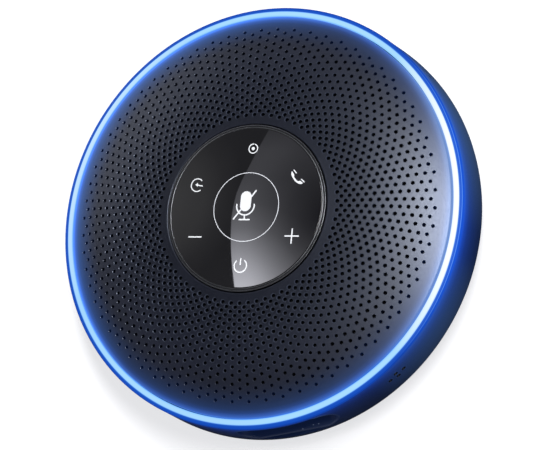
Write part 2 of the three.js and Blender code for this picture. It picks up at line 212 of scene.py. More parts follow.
def ramp(nt, fac, stops, interpolation="LINEAR"):
    r = node(nt, "ShaderNodeValToRGB")
    r.color_ramp.interpolation = interpolation
    while len(r.color_ramp.elements) < len(stops):
        r.color_ramp.elements.new(0.5)
    for e, (p, c) in zip(r.color_ramp.elements, stops):
        e.position = p
        e.color = (*c, 1) if len(c) == 3 else c
    nt.links.new(fac, r.inputs["Fac"])
    return r


def radius_of(nt):
    """Distance from the object's axis, in metres, and height, from object coordinates."""
    tc = node(nt, "ShaderNodeTexCoord")
    sep = node(nt, "ShaderNodeSeparateXYZ")
    nt.links.new(tc.outputs["Object"], sep.inputs[0])
    flat = node(nt, "ShaderNodeCombineXYZ")
    nt.links.new(sep.outputs["X"], flat.inputs["X"])
    nt.links.new(sep.outputs["Y"], flat.inputs["Y"])
    length = node(nt, "ShaderNodeVectorMath", operation="LENGTH")
    nt.links.new(flat.outputs[0], length.inputs[0])
    return length.outputs["Value"], sep


def span(nt, value, lo, hi, to0=0.0, to1=1.0):
    m = node(nt, "ShaderNodeMapRange")
    m.inputs["From Min"].default_value = lo
    m.inputs["From Max"].default_value = hi
    m.inputs["To Min"].default_value = to0
    m.inputs["To Max"].default_value = to1
    m.clamp = True
    nt.links.new(value, m.inputs["Value"])
    return m.outputs["Result"]


def plastic(name, dark, light, rough=(0.38, 0.46), grain=2600.0, bump=0.06, blotch=90.0, **sockets):
    """Moulded plastic: slow colour variation, fine grain in roughness and bump."""
    m, nt, p = nodes_of(name)
    slow = noise_of(nt, blotch, 3)
    c = ramp(nt, slow.outputs["Fac"], [(0.3, dark), (0.7, light)])
    nt.links.new(c.outputs["Color"], p.inputs["Base Color"])
    fine = noise_of(nt, grain, 2)
    nt.links.new(span(nt, fine.outputs["Fac"], 0.3, 0.7, *rough), p.inputs["Roughness"])
    b = node(nt, "ShaderNodeBump")
    b.inputs["Strength"].default_value = bump
    b.inputs["Distance"].default_value = 0.00004
    nt.links.new(fine.outputs["Fac"], b.inputs["Height"])
    nt.links.new(b.outputs["Normal"], p.inputs["Normal"])
    for k, v in sockets.items():
        p.inputs[k.replace("_", " ")].default_value = v
    return m


def toward(nt, dx, dy, lo, hi, to0=0.0, to1=1.0):
    """How far round the object a point is toward (dx, dy): a ramp on the cosine of the angle."""
    tc = node(nt, "ShaderNodeTexCoord")
    flat = node(nt, "ShaderNodeVectorMath", operation="MULTIPLY")
    nt.links.new(tc.outputs["Object"], flat.inputs[0])
    flat.inputs[1].default_value = (1, 1, 0)
    unit = node(nt, "ShaderNodeVectorMath", operation="NORMALIZE")
    nt.links.new(flat.outputs[0], unit.inputs[0])
    dot = node(nt, "ShaderNodeVectorMath", operation="DOT_PRODUCT")
    nt.links.new(unit.outputs[0], dot.inputs[0])
    dot.inputs[1].default_value = (dx, dy, 0)
    return span(nt, dot.outputs["Value"], lo, hi, to0, to1)


def paint_light_on(m, painted_light_fn):
    """Paints light onto a moulding as emission: the ring's spilled light, falling off with distance from the ring, and
    on some mouldings painted sheen too.
    """
    nt = m.node_tree
    p = nt.nodes["Principled BSDF"]
    painted_light_fn(nt, p)
    return m


NAVY_D, NAVY_L = (0.0098, 0.0130, 0.0260), (0.0122, 0.0158, 0.0305)


# painted light on the grille: emission standing for the ring's spilled light, strongest next to the ring, with painted
# sheen mixed in on the right side
def grille_painted_light(nt, p):
    r, _ = radius_of(nt)
    f = span(nt, r, 0.0500, 0.0594)
    c = ramp(nt, f, [(0.0, (0, 0, 0)), (0.2, (0.0002, 0.0020, 0.008)), (0.426, (0.0006, 0.0075, 0.030)), (0.60, (0.0010, 0.014, 0.058)),
                     (0.745, (0.0030, 0.024, 0.100)), (0.851, (0.0080, 0.046, 0.215)), (0.957, (0.028, 0.120, 0.53)), (1.0, (0.05, 0.19, 0.75))])
    # painted sheen: a paler emission used on the right side, standing for a highlight there
    pale = ramp(nt, f, [(0.0, (0, 0, 0)), (0.426, (0.0006, 0.0075, 0.030)), (0.70, (0.006, 0.026, 0.10)), (0.80, (0.020, 0.060, 0.20)),
                        (0.90, (0.06, 0.15, 0.42)), (0.97, (0.15, 0.28, 0.62)), (1.0, (0.20, 0.36, 0.75))])
    both = node(nt, "ShaderNodeMix", data_type="RGBA")
    nt.links.new(toward(nt, 0.996, 0.087, 0.6, 0.98), both.inputs[0])
    nt.links.new(c.outputs["Color"], both.inputs[6])
    nt.links.new(pale.outputs["Color"], both.inputs[7])
    nt.links.new(both.outputs[2], p.inputs["Emission Color"])
    # the painted spill is stronger on the far left of the ring
    nt.links.new(toward(nt, -0.87, 0.5, 0.15, 0.9, 0.85, 2.6), p.inputs["Emission Strength"])


# painted light on the side wall: emission standing for the ring's light, fading down the wall, with painted sheen in
# two patches round it and stronger toward one side
def wall_painted_light(nt, p):
    _, sep = radius_of(nt)
    f = span(nt, sep.outputs["Z"], 0.0095, 0.0239)
    c = ramp(nt, f, [(0.0, (0.0004, 0.0030, 0.016)), (0.25, (0.0006, 0.0060, 0.040)), (0.5, (0.0010, 0.011, 0.080)), (0.72, (0.0020, 0.019, 0.150)),
                     (0.88, (0.003, 0.036, 0.30)), (0.95, (0.004, 0.050, 0.42)), (1.0, (0.006, 0.070, 0.54))])
    # painted sheen: a paler emission for the two patches
    pale = ramp(nt, f, [(0.0, (0.018, 0.034, 0.066)), (0.5, (0.020, 0.050, 0.135)), (0.72, (0.020, 0.056, 0.19)), (0.9, (0.020, 0.072, 0.31)), (1.0, (0.022, 0.095, 0.44))])
    both = node(nt, "ShaderNodeMix", data_type="RGBA")
    most = node(nt, "ShaderNodeMath", operation="MAXIMUM")
    nt.links.new(toward(nt, 0.819, 0.574, 0.80, 1.0, 0.0, 0.95), most.inputs[0])
    nt.links.new(toward(nt, 0.857, -0.515, 0.93, 1.0, 0.0, 0.62), most.inputs[1])
    nt.links.new(most.outputs[0], both.inputs[0])
    nt.links.new(c.outputs["Color"], both.inputs[6])
    nt.links.new(pale.outputs["Color"], both.inputs[7])
    nt.links.new(both.outputs[2], p.inputs["Emission Color"])
    # the painted light is stronger toward one side
    nt.links.new(toward(nt, 0.966, 0.259, 0.35, 0.98, 0.40, 1.35), p.inputs["Emission Strength"])


GRILLE_D, GRILLE_L = (0.0034, 0.0043, 0.0098), (0.0044, 0.0054, 0.0118)
TINT = (0.73, 0.80, 0.98, 1.0)
# the grille's own navy, with painted ring light and painted sheen added as emission
navy_grille = paint_light_on(plastic("navy_grille", GRILLE_D, GRILLE_L, rough=(0.34, 0.41), Specular_Tint=TINT), grille_painted_light)
# painted highlight: a lighter, smoother copy of the grille moulding for the hole chamfers, standing for glints; it also
# takes the grille's painted light
navy_edge_painted_glint = paint_light_on(plastic("navy_edge_painted_glint", (0.016, 0.020, 0.034), (0.020, 0.025, 0.041), rough=(0.28, 0.34), Specular_Tint=TINT), grille_painted_light)


def painted_inner_shade(m):
    """Toward the middle of the grille the base colour is darkened as painted shade, and the moulding is a little
    smoother than at the rim.
    """
    nt = m.node_tree
    p = nt.nodes["Principled BSDF"]
    r, _ = radius_of(nt)
    old = p.inputs["Base Color"].links[0].from_socket
    painted_shade = node(nt, "ShaderNodeVectorMath", operation="SCALE")
    nt.links.new(old, painted_shade.inputs[0])
    nt.links.new(span(nt, r, 0.029, 0.047, 0.55, 1.0), painted_shade.inputs["Scale"])
    nt.links.new(painted_shade.outputs[0], p.inputs["Base Color"])
    old = p.inputs["Roughness"].links[0].from_socket
    sheen = node(nt, "ShaderNodeMath", operation="MULTIPLY")
    nt.links.new(old, sheen.inputs[0])
    nt.links.new(span(nt, r, 0.029, 0.047, 0.84, 1.0), sheen.inputs[1])
    nt.links.new(sheen.outputs[0], p.inputs["Roughness"])
    return m


# painted light: emission in the hole bores standing for the ring's spilled light, growing toward the ring
def bore_painted_spill(nt, p):
    r, _ = radius_of(nt)
    c = ramp(nt, span(nt, r, 0.0500, 0.0594), [(0.0, (0, 0, 0)), (0.3, (0.0004, 0.0020, 0.011)), (0.6, (0.0008, 0.0046, 0.024)), (1.0, (0.002, 0.014, 0.07))])
    nt.links.new(c.outputs["Color"], p.inputs["Emission Color"])
    p.inputs["Emission Strength"].default_value = 1.0


painted_inner_shade(navy_grille)
# painted shade: the hole bores get a near-black copy of the navy, standing for the shade inside the holes, with the
# painted spill added
navy_bore_painted_shade_and_spill = paint_light_on(plastic("navy_bore_painted_shade_and_spill", (0.0003, 0.0011, 0.0044), (0.0005, 0.0015, 0.0056), rough=(0.50, 0.58), Specular_IOR_Level=0.18), bore_painted_spill)
# the wall's own navy, with the painted ring light and painted sheen added as emission
navy_wall = paint_light_on(plastic("navy_wall", (0.0018, 0.0058, 0.0180), (0.0026, 0.0074, 0.0220), rough=(0.36, 0.44), Specular_Tint=TINT), wall_painted_light)


# painted light: emission on the top of the base standing for the ring's spilled light, stronger toward one side
def base_painted_spill(nt, p):
    _, sep = radius_of(nt)
    c = ramp(nt, span(nt, sep.outputs["Z"], 0.0040, 0.0095), [(0.0, (0, 0, 0)), (0.6, (0.0001, 0.0008, 0.005)), (1.0, (0.0004, 0.0030, 0.016))])
    nt.links.new(c.outputs["Color"], p.inputs["Emission Color"])
    nt.links.new(toward(nt, 0.966, 0.259, 0.35, 0.98, 0.40, 1.2), p.inputs["Emission Strength"])


navy_base = paint_light_on(plastic("navy_base", NAVY_D, NAVY_L, rough=(0.42, 0.52)), base_painted_spill)
bay_plastic = plastic("bay_plastic", (0.004, 0.010, 0.028), (0.006, 0.014, 0.036), rough=(0.42, 0.52))


# painted light: emission in the socket bay standing for the ring's spilled light, brightest at its upper edge
def bay_painted_spill(nt, p):
    _, sep = radius_of(nt)
    c = ramp(nt, span(nt, sep.outputs["Z"], 0.0125, 0.0228), [(0.0, (0.0004, 0.0030, 0.018)), (0.6, (0.0006, 0.0048, 0.030)), (0.82, (0.0015, 0.009, 0.050)), (1.0, (0.010, 0.032, 0.115))])
    nt.links.new(c.outputs["Color"], p.inputs["Emission Color"])
    p.inputs["Emission Strength"].default_value = 1.0


bay_rim = plastic("bay_rim", (0.012, 0.022, 0.050), (0.016, 0.028, 0.060), rough=(0.30, 0.38))
paint_light_on(bay_plastic, bay_painted_spill)
# painted shade: a near-black copy of the navy for the bores and inner bevels of the small holes
pin_painted_shade = plastic("pin_painted_shade", (0.0003, 0.0011, 0.0044), (0.0005, 0.0015, 0.0056), rough=(0.50, 0.58), Specular_IOR_Level=0.18)
# painted highlight: the rims are lighter than the wall, and they take the wall's painted light
pin_rim_painted_light = paint_light_on(plastic("pin_rim_painted_light", (0.006, 0.014, 0.036), (0.008, 0.018, 0.044), rough=(0.28, 0.34), Specular_Tint=TINT), wall_painted_light)
black_plastic = plastic("black_plastic", (0.010, 0.010, 0.012), (0.018, 0.018, 0.021), rough=(0.5, 0.62), bump=0.12)
rubber = plastic("rubber", (0.012, 0.012, 0.014), (0.022, 0.022, 0.025), rough=(0.72, 0.9), grain=1800, bump=0.25)
trim = plastic("trim", (0.020, 0.021, 0.024), (0.030, 0.031, 0.035), rough=(0.16, 0.22), grain=3000, bump=0.02, Metallic=0.75)
trim_edge = plastic("trim_edge", (0.17, 0.175, 0.19), (0.21, 0.215, 0.23), rough=(0.28, 0.32), grain=3000, bump=0.0, Metallic=1.0)
label = plastic("label", (0.205, 0.215, 0.235), (0.220, 0.230, 0.250), rough=(0.5, 0.56))
cream = plastic("cream", (0.62, 0.58, 0.48), (0.70, 0.66, 0.56), rough=(0.4, 0.5))
lead_red = plastic("lead_red", (0.30, 0.02, 0.02), (0.40, 0.03, 0.03), rough=(0.45, 0.55))
lead_black = plastic("lead_black", (0.012, 0.012, 0.014), (0.02, 0.02, 0.022), rough=(0.45, 0.55))
ferrite = plastic("ferrite", (0.02, 0.02, 0.022), (0.04, 0.04, 0.043), rough=(0.55, 0.75), bump=0.3)
flex = plastic("flex", (0.30, 0.15, 0.03), (0.38, 0.20, 0.05), rough=(0.3, 0.4))
cell = plastic("cell", (0.03, 0.10, 0.28), (0.05, 0.14, 0.34), rough=(0.3, 0.38), bump=0.03)


def metal(name, dark, light, rough=(0.22, 0.34)):
    m = plastic(name, dark, light, rough=rough, grain=2600, bump=0.012, Metallic=1.0)
    return m


steel = metal("steel", (0.50, 0.50, 0.52), (0.62, 0.62, 0.64))
copper = metal("copper", (0.50, 0.22, 0.10), (0.66, 0.32, 0.16))


def cloth_material(name, dark, light):
    """A plain weave from two crossed sets of waves."""
    m, nt, p = nodes_of(name)
    tc = node(nt, "ShaderNodeTexCoord")
    waves = []
    for axis in ("X", "Y"):
        w = node(nt, "ShaderNodeTexWave", bands_direction=axis)
        w.inputs["Scale"].default_value = 900.0
        nt.links.new(tc.outputs["Object"], w.inputs["Vector"])
        waves.append(w)
    mix = node(nt, "ShaderNodeMath", operation="MULTIPLY")
    nt.links.new(waves[0].outputs["Fac"], mix.inputs[0])
    nt.links.new(waves[1].outputs["Fac"], mix.inputs[1])
    c = ramp(nt, mix.outputs[0], [(0.0, dark), (1.0, light)])
    nt.links.new(c.outputs["Color"], p.inputs["Base Color"])
    b = node(nt, "ShaderNodeBump")
    b.inputs["Strength"].default_value = 0.4
    b.inputs["Distance"].default_value = 0.0001
    nt.links.new(mix.outputs[0], b.inputs["Height"])
    nt.links.new(b.outputs["Normal"], p.inputs["Normal"])
    p.inputs["Roughness"].default_value = 0.95
    return m


acoustic = cloth_material("acoustic", (0.0004, 0.0007, 0.0022), (0.0012, 0.0018, 0.0045))
paper = cloth_material("paper", (0.010, 0.010, 0.011), (0.022, 0.022, 0.024))


def board_material():
    """Solder mask with faint copper runs under it."""
    m, nt, p = nodes_of("board")
    tc = node(nt, "ShaderNodeTexCoord")
    brick = node(nt, "ShaderNodeTexBrick")
    brick.inputs["Scale"].default_value = 260.0
    brick.inputs["Mortar Size"].default_value = 0.08
    brick.inputs["Color1"].default_value = (0.012, 0.085, 0.045, 1)
    brick.inputs["Color2"].default_value = (0.016, 0.100, 0.052, 1)
    brick.inputs["Mortar"].default_value = (0.030, 0.150, 0.070, 1)
    nt.links.new(tc.outputs["Object"], brick.inputs["Vector"])
    nt.links.new(brick.outputs["Color"], p.inputs["Base Color"])
    fine = noise_of(nt, 1200, 2)
    nt.links.new(span(nt, fine.outputs["Fac"], 0.3, 0.7, 0.3, 0.4), p.inputs["Roughness"])
    return m


board = board_material()


def panel_material():
    """Gloss black front: hard clear surface over black, with the faintest unevenness."""
    m, nt, p = nodes_of("panel_gloss")
    slow = noise_of(nt, 60, 2)
    c = ramp(nt, slow.outputs["Fac"], [(0.3, (0.0030, 0.0030, 0.0040)), (0.7, (0.0042, 0.0042, 0.0054))])
    nt.links.new(c.outputs["Color"], p.inputs["Base Color"])
    nt.links.new(span(nt, slow.outputs["Fac"], 0.3, 0.7, 0.006, 0.012), p.inputs["Roughness"])
    p.inputs["IOR"].default_value = 1.5
    return m


panel_gloss = panel_material()


# painted light: the print also glows by emission in its own colour
def print_material(name, colour, painted_glow):
    m, nt, p = nodes_of(name)
    slow = noise_of(nt, 400, 2)
    c = ramp(nt, slow.outputs["Fac"], [(0.3, tuple(x * 0.97 for x in colour)), (0.7, colour)])
    nt.links.new(c.outputs["Color"], p.inputs["Base Color"])
    nt.links.new(c.outputs["Color"], p.inputs["Emission Color"])
    p.inputs["Emission Strength"].default_value = painted_glow
    p.inputs["Roughness"].default_value = 0.12
    return m


ink = print_material("ink_white", (0.44, 0.45, 0.47), 0.42)
ink_dim = print_material("ink_dim", (0.13, 0.16, 0.24), 0.46)
ink_line = print_material("ink_line", (0.40, 0.41, 0.44), 0.44)


def diffuser_material():
    """Frosted diffuser, lit from under: a pale core, blue flanks, whitest at the right with a painted highlight line
    along the outer edge there, and a little uneven round the ring.
    """
    m, nt, p = nodes_of("diffuser")
    r, sep = radius_of(nt)
    # the pale core sits a touch further in on one side of the ring than on the other
    aside = node(nt, "ShaderNodeMath", operation="ADD")
    nt.links.new(r, aside.inputs[0])
    nt.links.new(toward(nt, -0.5, 0.866, -1.0, 1.0, -0.00007, 0.00010), aside.inputs[1])
    f = span(nt, aside.outputs[0], 0.0592, 0.0625)
    at_r = lambda mm: (mm - 59.2) / 3.3
    blue = ramp(nt, f, [(at_r(59.2), (0.01, 0.09, 0.60)), (at_r(59.42), (0.04, 0.24, 0.95)), (at_r(59.68), (0.30, 0.62, 1.0)), (at_r(60.1), (0.37, 0.66, 0.98)),
                        (at_r(60.85), (0.36, 0.66, 0.98)), (at_r(61.08), (0.20, 0.48, 0.96)), (at_r(61.18), (0.02, 0.13, 0.62)), (at_r(61.5), (0.006, 0.072, 0.48)),
                        (at_r(61.95), (0.005, 0.070, 0.48)), (at_r(62.1), (0.004, 0.055, 0.40)), (at_r(62.4), (0.003, 0.040, 0.32))])
    # the whiter variant, mixed in at the right and a little at the far left, holds a thin bright line near r 61.92: a
    # painted highlight on the ring's outer edge
    white_with_painted_rim_line = ramp(nt, f, [(at_r(59.2), (0.02, 0.15, 0.75)), (at_r(59.46), (0.03, 0.17, 0.80)), (at_r(59.66), (0.90, 0.98, 1.0)), (at_r(60.2), (1.0, 1.0, 1.0)),
                         (at_r(60.85), (1.0, 1.0, 1.0)), (at_r(61.08), (0.75, 0.90, 1.0)), (at_r(61.18), (0.04, 0.19, 0.74)), (at_r(61.5), (0.010, 0.10, 0.64)),
                         (at_r(61.84), (0.010, 0.11, 0.70)), (at_r(61.92), (0.20, 0.46, 1.0)), (at_r(62.0), (0.010, 0.11, 0.74)), (at_r(62.4), (0.006, 0.075, 0.60))])
    mix = node(nt, "ShaderNodeMix", data_type="RGBA")
    nt.links.new(toward(nt, 0.996, 0.087, 0.70, 0.96), mix.inputs[0])
    nt.links.new(blue.outputs["Color"], mix.inputs[6])
    nt.links.new(white_with_painted_rim_line.outputs["Color"], mix.inputs[7])
    # and a little paler at the far left
    lift = node(nt, "ShaderNodeMix", data_type="RGBA")
    nt.links.new(toward(nt, -0.94, 0.34, 0.7, 1.0, 0.0, 0.28), lift.inputs[0])
    nt.links.new(mix.outputs[2], lift.inputs[6])
    nt.links.new(white_with_painted_rim_line.outputs["Color"], lift.inputs[7])
    slow = noise_of(nt, 22, 2)
    nt.links.new(lift.outputs[2], p.inputs["Emission Color"])
    nt.links.new(span(nt, slow.outputs["Fac"], 0.3, 0.7, 0.92, 1.0), p.inputs["Emission Strength"])
    tint = ramp(nt, f, [(0.0, (0.001, 0.006, 0.03)), (0.2, (0.02, 0.04, 0.07)), (0.5, (0.02, 0.04, 0.07)), (0.62, (0.0008, 0.005, 0.03)), (1.0, (0.0006, 0.004, 0.025))])
    nt.links.new(tint.outputs["Color"], p.inputs["Base Color"])
    p.inputs["Roughness"].default_value = 0.5
    p.inputs["Specular IOR Level"].default_value = 0.04
    return m


diffuser = diffuser_material()

# --------------------------------------------------------------- grille
def build_grille():
    n = 3  # steps along each edge of a hole's diamond cell
    cols = 2 * PER_RING * n
    step = 2 * math.pi / cols
    pitch = RING_RADII[0] - RING_RADII[1]
    radii = np.concatenate([[RING_RADII[0] + pitch], RING_RADII, [RING_RADII[-1] - pitch]])  # index k + 1
    rings = len(RING_RADII)
    verts, normals, zone = [], [], []

    def add(x, y, z, nx, ny, nz):
        verts.append((x, y, z))
        return len(verts) - 1

    def radius_at(k3):
        k, t = divmod(k3, n)
        r0 = radii[k + 1]
        return r0 if t == 0 else r0 + (radii[k + 2] - r0) * t / n

    def angle_at(c):
        return rad(-4.0) - c * step

    top, bottom = {}, {}

    def cell_vertex(k3, c):
        key = (k3, c % cols)
        if key not in top:
            r, a = radius_at(k3), angle_at(c)
            z = float(dome_z(r))
            top[key] = len(verts)
            verts.append((r * math.cos(a), r * math.sin(a), z))
            bottom[key] = len(verts)
            verts.append((r * math.cos(a), r * math.sin(a), z - GRILLE_T))
        return top[key], bottom[key]

    faces, face_normals = [], []  # normals: one per corner

    def dome_normal(x, y):
        r = math.hypot(x, y)
        s = float(dome_slope(r))
        k = 1 / math.sqrt(1 + s * s)
        return (-s * k * x / r, -s * k * y / r, k)

    index = []

    def quad(ids, ns, surface=0):
        faces.append(ids)
        face_normals.extend(ns)
        index.append(surface)

    for k in range(rings):
        rc = RING_RADII[k]
        hole_r = 0.49 + 0.12 * k / (rings - 1)
        chamfer = 0.07 + 0.09 * min(1.0, k / 14.0)
        # the chamfers of the inner rings take the lighter copy, a painted glint
        painted_glint_surface = 1 if k >= 7 else 0
        for m in range(PER_RING):
            i = 2 * m + (k % 2)
            c0 = i * n
            a0 = angle_at(c0)
            hx, hy, hz = rc * math.cos(a0), rc * math.sin(a0), float(dome_z(rc))
            er = np.array([math.cos(a0), math.sin(a0), float(dome_slope(rc))])
            er /= np.linalg.norm(er)
            et = np.array([math.sin(a0), -math.cos(a0), 0.0])  # towards growing column
            en = np.array(dome_normal(hx, hy))
            h = np.array([hx, hy, hz])
            # the cell's outline: from the corner at growing column, outward, back, inward
            loop = []
            for t in range(n):
                loop.append((k * n - t, c0 + n - t))  # east to outer
            for t in range(n):
                loop.append(((k - 1) * n + t, c0 - t))  # outer to west
            for t in range(n):
                loop.append((k * n + t, c0 - n + t))  # west to inner
            for t in range(n):
                loop.append(((k + 1) * n - t, c0 + t))  # inner to east
            edge = [cell_vertex(*x) for x in loop]
            size = len(edge)
            ids = {}
            for level in ("rim", "throat", "floor"):
                ids[level] = len(verts)
                for q in range(size):
                    th = 2 * math.pi * q / size
                    d = et * math.cos(th) + er * math.sin(th)
                    if level == "rim":
                        p = h + d * (hole_r + chamfer)
                        r = math.hypot(p[0], p[1])
                        p = (p[0], p[1], float(dome_z(r)))
                    elif level == "throat":
                        p = h + d * hole_r - en * chamfer
                    else:
                        p = h + d * hole_r
                        r = math.hypot(p[0], p[1])
                        p = (p[0], p[1], float(dome_z(r)) - GRILLE_T)
                    verts.append(tuple(p))
            dirs = [et * math.cos(2 * math.pi * q / size) + er * math.sin(2 * math.pi * q / size) for q in range(size)]
            for q in range(size):
                w = (q + 1) % size
                tq, tw = edge[q][0], edge[w][0]
                bq, bw = edge[q][1], edge[w][1]
                Rq, Rw = ids["rim"] + q, ids["rim"] + w
                Tq, Tw = ids["throat"] + q, ids["throat"] + w
                Fq, Fw = ids["floor"] + q, ids["floor"] + w
                up = lambda v: dome_normal(verts[v][0], verts[v][1])
                down = lambda v: tuple(-np.array(dome_normal(verts[v][0], verts[v][1])))
                ch = lambda d: tuple((en * 0.75 - d * 0.66) / np.linalg.norm(en * 0.75 - d * 0.66))
                quad((tq, tw, Rw, Rq), (up(tq), up(tw), up(Rw), up(Rq)))
                quad((Rq, Rw, Tw, Tq), (ch(dirs[q]), ch(dirs[w]), ch(dirs[w]), ch(dirs[q])), painted_glint_surface)
                # the bore walls take the painted shade material
                quad((Tq, Tw, Fw, Fq), (tuple(-dirs[q]), tuple(-dirs[w]), tuple(-dirs[w]), tuple(-dirs[q])), 2)
                quad((Fq, Fw, bw, bq), (down(Fq), down(Fw), down(bw), down(bq)))

    # plain bands: profiles from the zigzag outward and inward, each column one point
    def zigzag(k):  # the vertex of each column on the line between ring k and ring k+1
        out = []
        for c in range(cols):
            j, t = divmod(c, n)
            # distance in columns from the nearest node of ring k that is between holes
            if (j + k) % 2:  # node j of ring k is between holes
                off = t
            else:
                off = n - t if t else n
            out.append(cell_vertex(k * n + off, c))
        return out

    def profile_rows(points, first, first_normal, last, last_normal):
        """Rows of vertices along (r, z) points between two given rows."""
        pts = [None] + list(points) + [None]
        rows = [first]
        for r, z in points:
            base = len(verts)
            for c in range(cols):
                a = angle_at(c)
                verts.append((r * math.cos(a), r * math.sin(a), z))
            rows.append([base + c for c in range(cols)])
        rows.append(last)
        return rows

    def rz(v):
        return math.hypot(verts[v][0], verts[v][1]), verts[v][2]

    def skin(rows, flip, sharp=30):
        """Quads between rows, with corner normals averaged over gentle bends and split at sharp ones."""
        seg_n = []
        for A, B in zip(rows[:-1], rows[1:]):
            r0, z0 = np.mean([rz(A[c]) for c in range(0, cols, 7)], axis=0)
            r1, z1 = np.mean([rz(B[c]) for c in range(0, cols, 7)], axis=0)
            d = np.array([r1 - r0, z1 - z0])
            d /= max(np.linalg.norm(d), 1e-9)
            nn = np.array([-d[1], d[0]]) * (1 if flip else -1)
            seg_n.append(nn)
        for s, (A, B) in enumerate(zip(rows[:-1], rows[1:])):
            def corner(which):
                other = s - 1 if which == 0 else s + 1
                base = seg_n[s]
                if 0 <= other < len(seg_n) and np.dot(base, seg_n[other]) > math.cos(rad(sharp)):
                    base = base + seg_n[other]
                return base / np.linalg.norm(base)
            na, nb = corner(0), corner(1)
            for c in range(cols):
                w = (c + 1) % cols
                def lift(nv, v):
                    x, y, _ = verts[v]
                    r = math.hypot(x, y)
                    return (nv[0] * x / r, nv[0] * y / r, nv[1])
                ids = (A[c], A[w], B[w], B[c])
                ns = (lift(na, A[c]), lift(na, A[w]), lift(nb, B[w]), lift(nb, B[c]))
                if not flip:
                    ids, ns = ids[::-1], ns[::-1]
                quad(ids, ns)

    outer = zigzag(-1)
    top_row = [v[0] for v in outer]
    bottom_row = [v[1] for v in outer]
    pts = [(r, float(dome_z(r))) for r in (56.6, 57.4, 58.2, 58.8)]
    ze = float(dome_z(59.3))
    pts += [(59.05, ze + 0.075), (59.2, ze - 0.03), (59.28, ze - 0.16), (59.3, ze - 0.34), (59.3, 24.0), (57.9, 24.0), (57.9, float(dome_z(57.9)) - GRILLE_T - 0.1), (57.4, float(dome_z(57.4)) - GRILLE_T)]
    skin(profile_rows(pts, top_row, None, bottom_row, None), True)
    inner = zigzag(rings - 1)
    top_row = [v[0] for v in inner]
    bottom_row = [v[1] for v in inner]
    pts = [(r, float(dome_z(r))) for r in (26.2, 25.7, 25.2)]
    zi = float(dome_z(24.75))
    pts += [(24.98, zi - 0.01), (24.84, zi - 0.06), (24.77, zi - 0.14), (24.75, zi - 0.26), (24.75, 30.6), (26.15, 30.6), (26.15, float(dome_z(26.15)) - GRILLE_T)]
    skin(profile_rows(pts, top_row, None, bottom_row, None), False)

    me = bpy.data.meshes.new("grille_perforated")
    me.from_pydata([tuple(v) for v in np.array(verts) * MM], [], [tuple(f) for f in faces])
    me.materials.append(navy_grille)
    me.materials.append(navy_edge_painted_glint)
    me.materials.append(navy_bore_painted_shade_and_spill)
    me.polygons.foreach_set("material_index", np.asarray(index, np.int32))
    me.polygons.foreach_set("use_smooth", np.ones(len(me.polygons), bool))
    me.update()
    me.normals_split_custom_set([tuple(x) for x in face_normals])
    ob = bpy.data.objects.new("grille_perforated", me)
    collection.objects.link(ob)
    return ob


grille = build_grille()
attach(grille, BODY)
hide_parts("grille_cover")

# --------------------------------------------------------------- panel and trim
PANEL_SPHERE = 1369.0


def panel_z(x, y):
    return 34.0 - (x * x + y * y) / (2 * PANEL_SPHERE)


edge = [(r, float(panel_z(r, 0))) for r in list(np.linspace(0, 23.1, 24)) + [23.22, 23.27]]
z0 = edge[-1][1]
panel = lathe("touch_panel_gloss", [(0, 32.4), (23.35, 32.4), (23.42, 32.5), (23.42, z0 - 0.16)]
              + arc(23.28, z0 - 0.14, 0.14, 0, 80, 5) + edge[::-1], panel_gloss, 256, 40)
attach(panel, BODY)
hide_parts("touch_panel")

trim_profile = ([(23.50, 31.2), (24.42, 31.2), (24.42, 33.53)] + arc(24.35, 33.54, 0.07, 0, 90, 5)
                + [(24.22, 33.58), (23.72, 33.64)] + arc(23.58, 33.62, 0.08, 90, 180, 5))
bright = lambda i: 1 if 2 <= i <= 7 or i >= 10 else 0
trim_ring = lathe("panel_trim", trim_profile, [trim, trim_edge], 256, 40, index_of=bright)
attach(trim_ring, BODY)
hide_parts("panel_trim_ring")


# printed marks: thin inlays that follow the panel's surface
def inlay(name, polygons, cx, cy, surface, lift=0.012, depth=0.06):
    """Flat polygons, in millimetres round (cx, cy), laid on the panel with a small thickness."""
    verts, faces = [], []
    for poly in polygons:
        base = len(verts)
        n = len(poly)
        area = sum(poly[i][0] * poly[(i + 1) % n][1] - poly[(i + 1) % n][0] * poly[i][1] for i in range(n))
        if area < 0:
            poly = poly[::-1]
        for dz in (lift, -depth):
            for x, y in poly:
                X, Y = x + cx, y + cy
                verts.append((X, Y, panel_z(X, Y) + dz))
        faces.append(list(range(base, base + n)))
        faces.append(list(range(base + 2 * n - 1, base + n - 1, -1)))
        for i in range(n):
            j = (i + 1) % n
            faces.append([base + n + i, base + n + j, base + j, base + i])
    ob = make(name, verts, faces, surface, 30)
    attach(ob, BODY)
    return ob


def stroke(points, width, closed=False, caps=8):
    """A line of a given width with round ends, as polygons."""
    p = np.array(points, float)
    h = width / 2
    n = len(p)
    left, right = [], []
    for i in range(n):
        if closed:
            d = p[(i + 1) % n] - p[i - 1]
        else:
            d = p[min(i + 1, n - 1)] - p[max(i - 1, 0)]
        d /= np.linalg.norm(d)
        nrm = np.array([-d[1], d[0]])
        left.append(tuple(p[i] + nrm * h))
        right.append(tuple(p[i] - nrm * h))
    if closed:
        return [[left[i], right[i], right[(i + 1) % n], left[(i + 1) % n]] for i in range(n)]
    d = p[-1] - p[-2]
    a = math.atan2(d[1], d[0])
    end = [tuple(p[-1] + h * np.array([math.cos(a - math.pi / 2 + math.pi * i / caps), math.sin(a - math.pi / 2 + math.pi * i / caps)])) for i in range(1, caps)]
    d = p[0] - p[1]
    a = math.atan2(d[1], d[0])
    start = [tuple(p[0] + h * np.array([math.cos(a - math.pi / 2 + math.pi * i / caps), math.sin(a - math.pi / 2 + math.pi * i / caps)])) for i in range(1, caps)]
    return [right + end + left[::-1] + start]


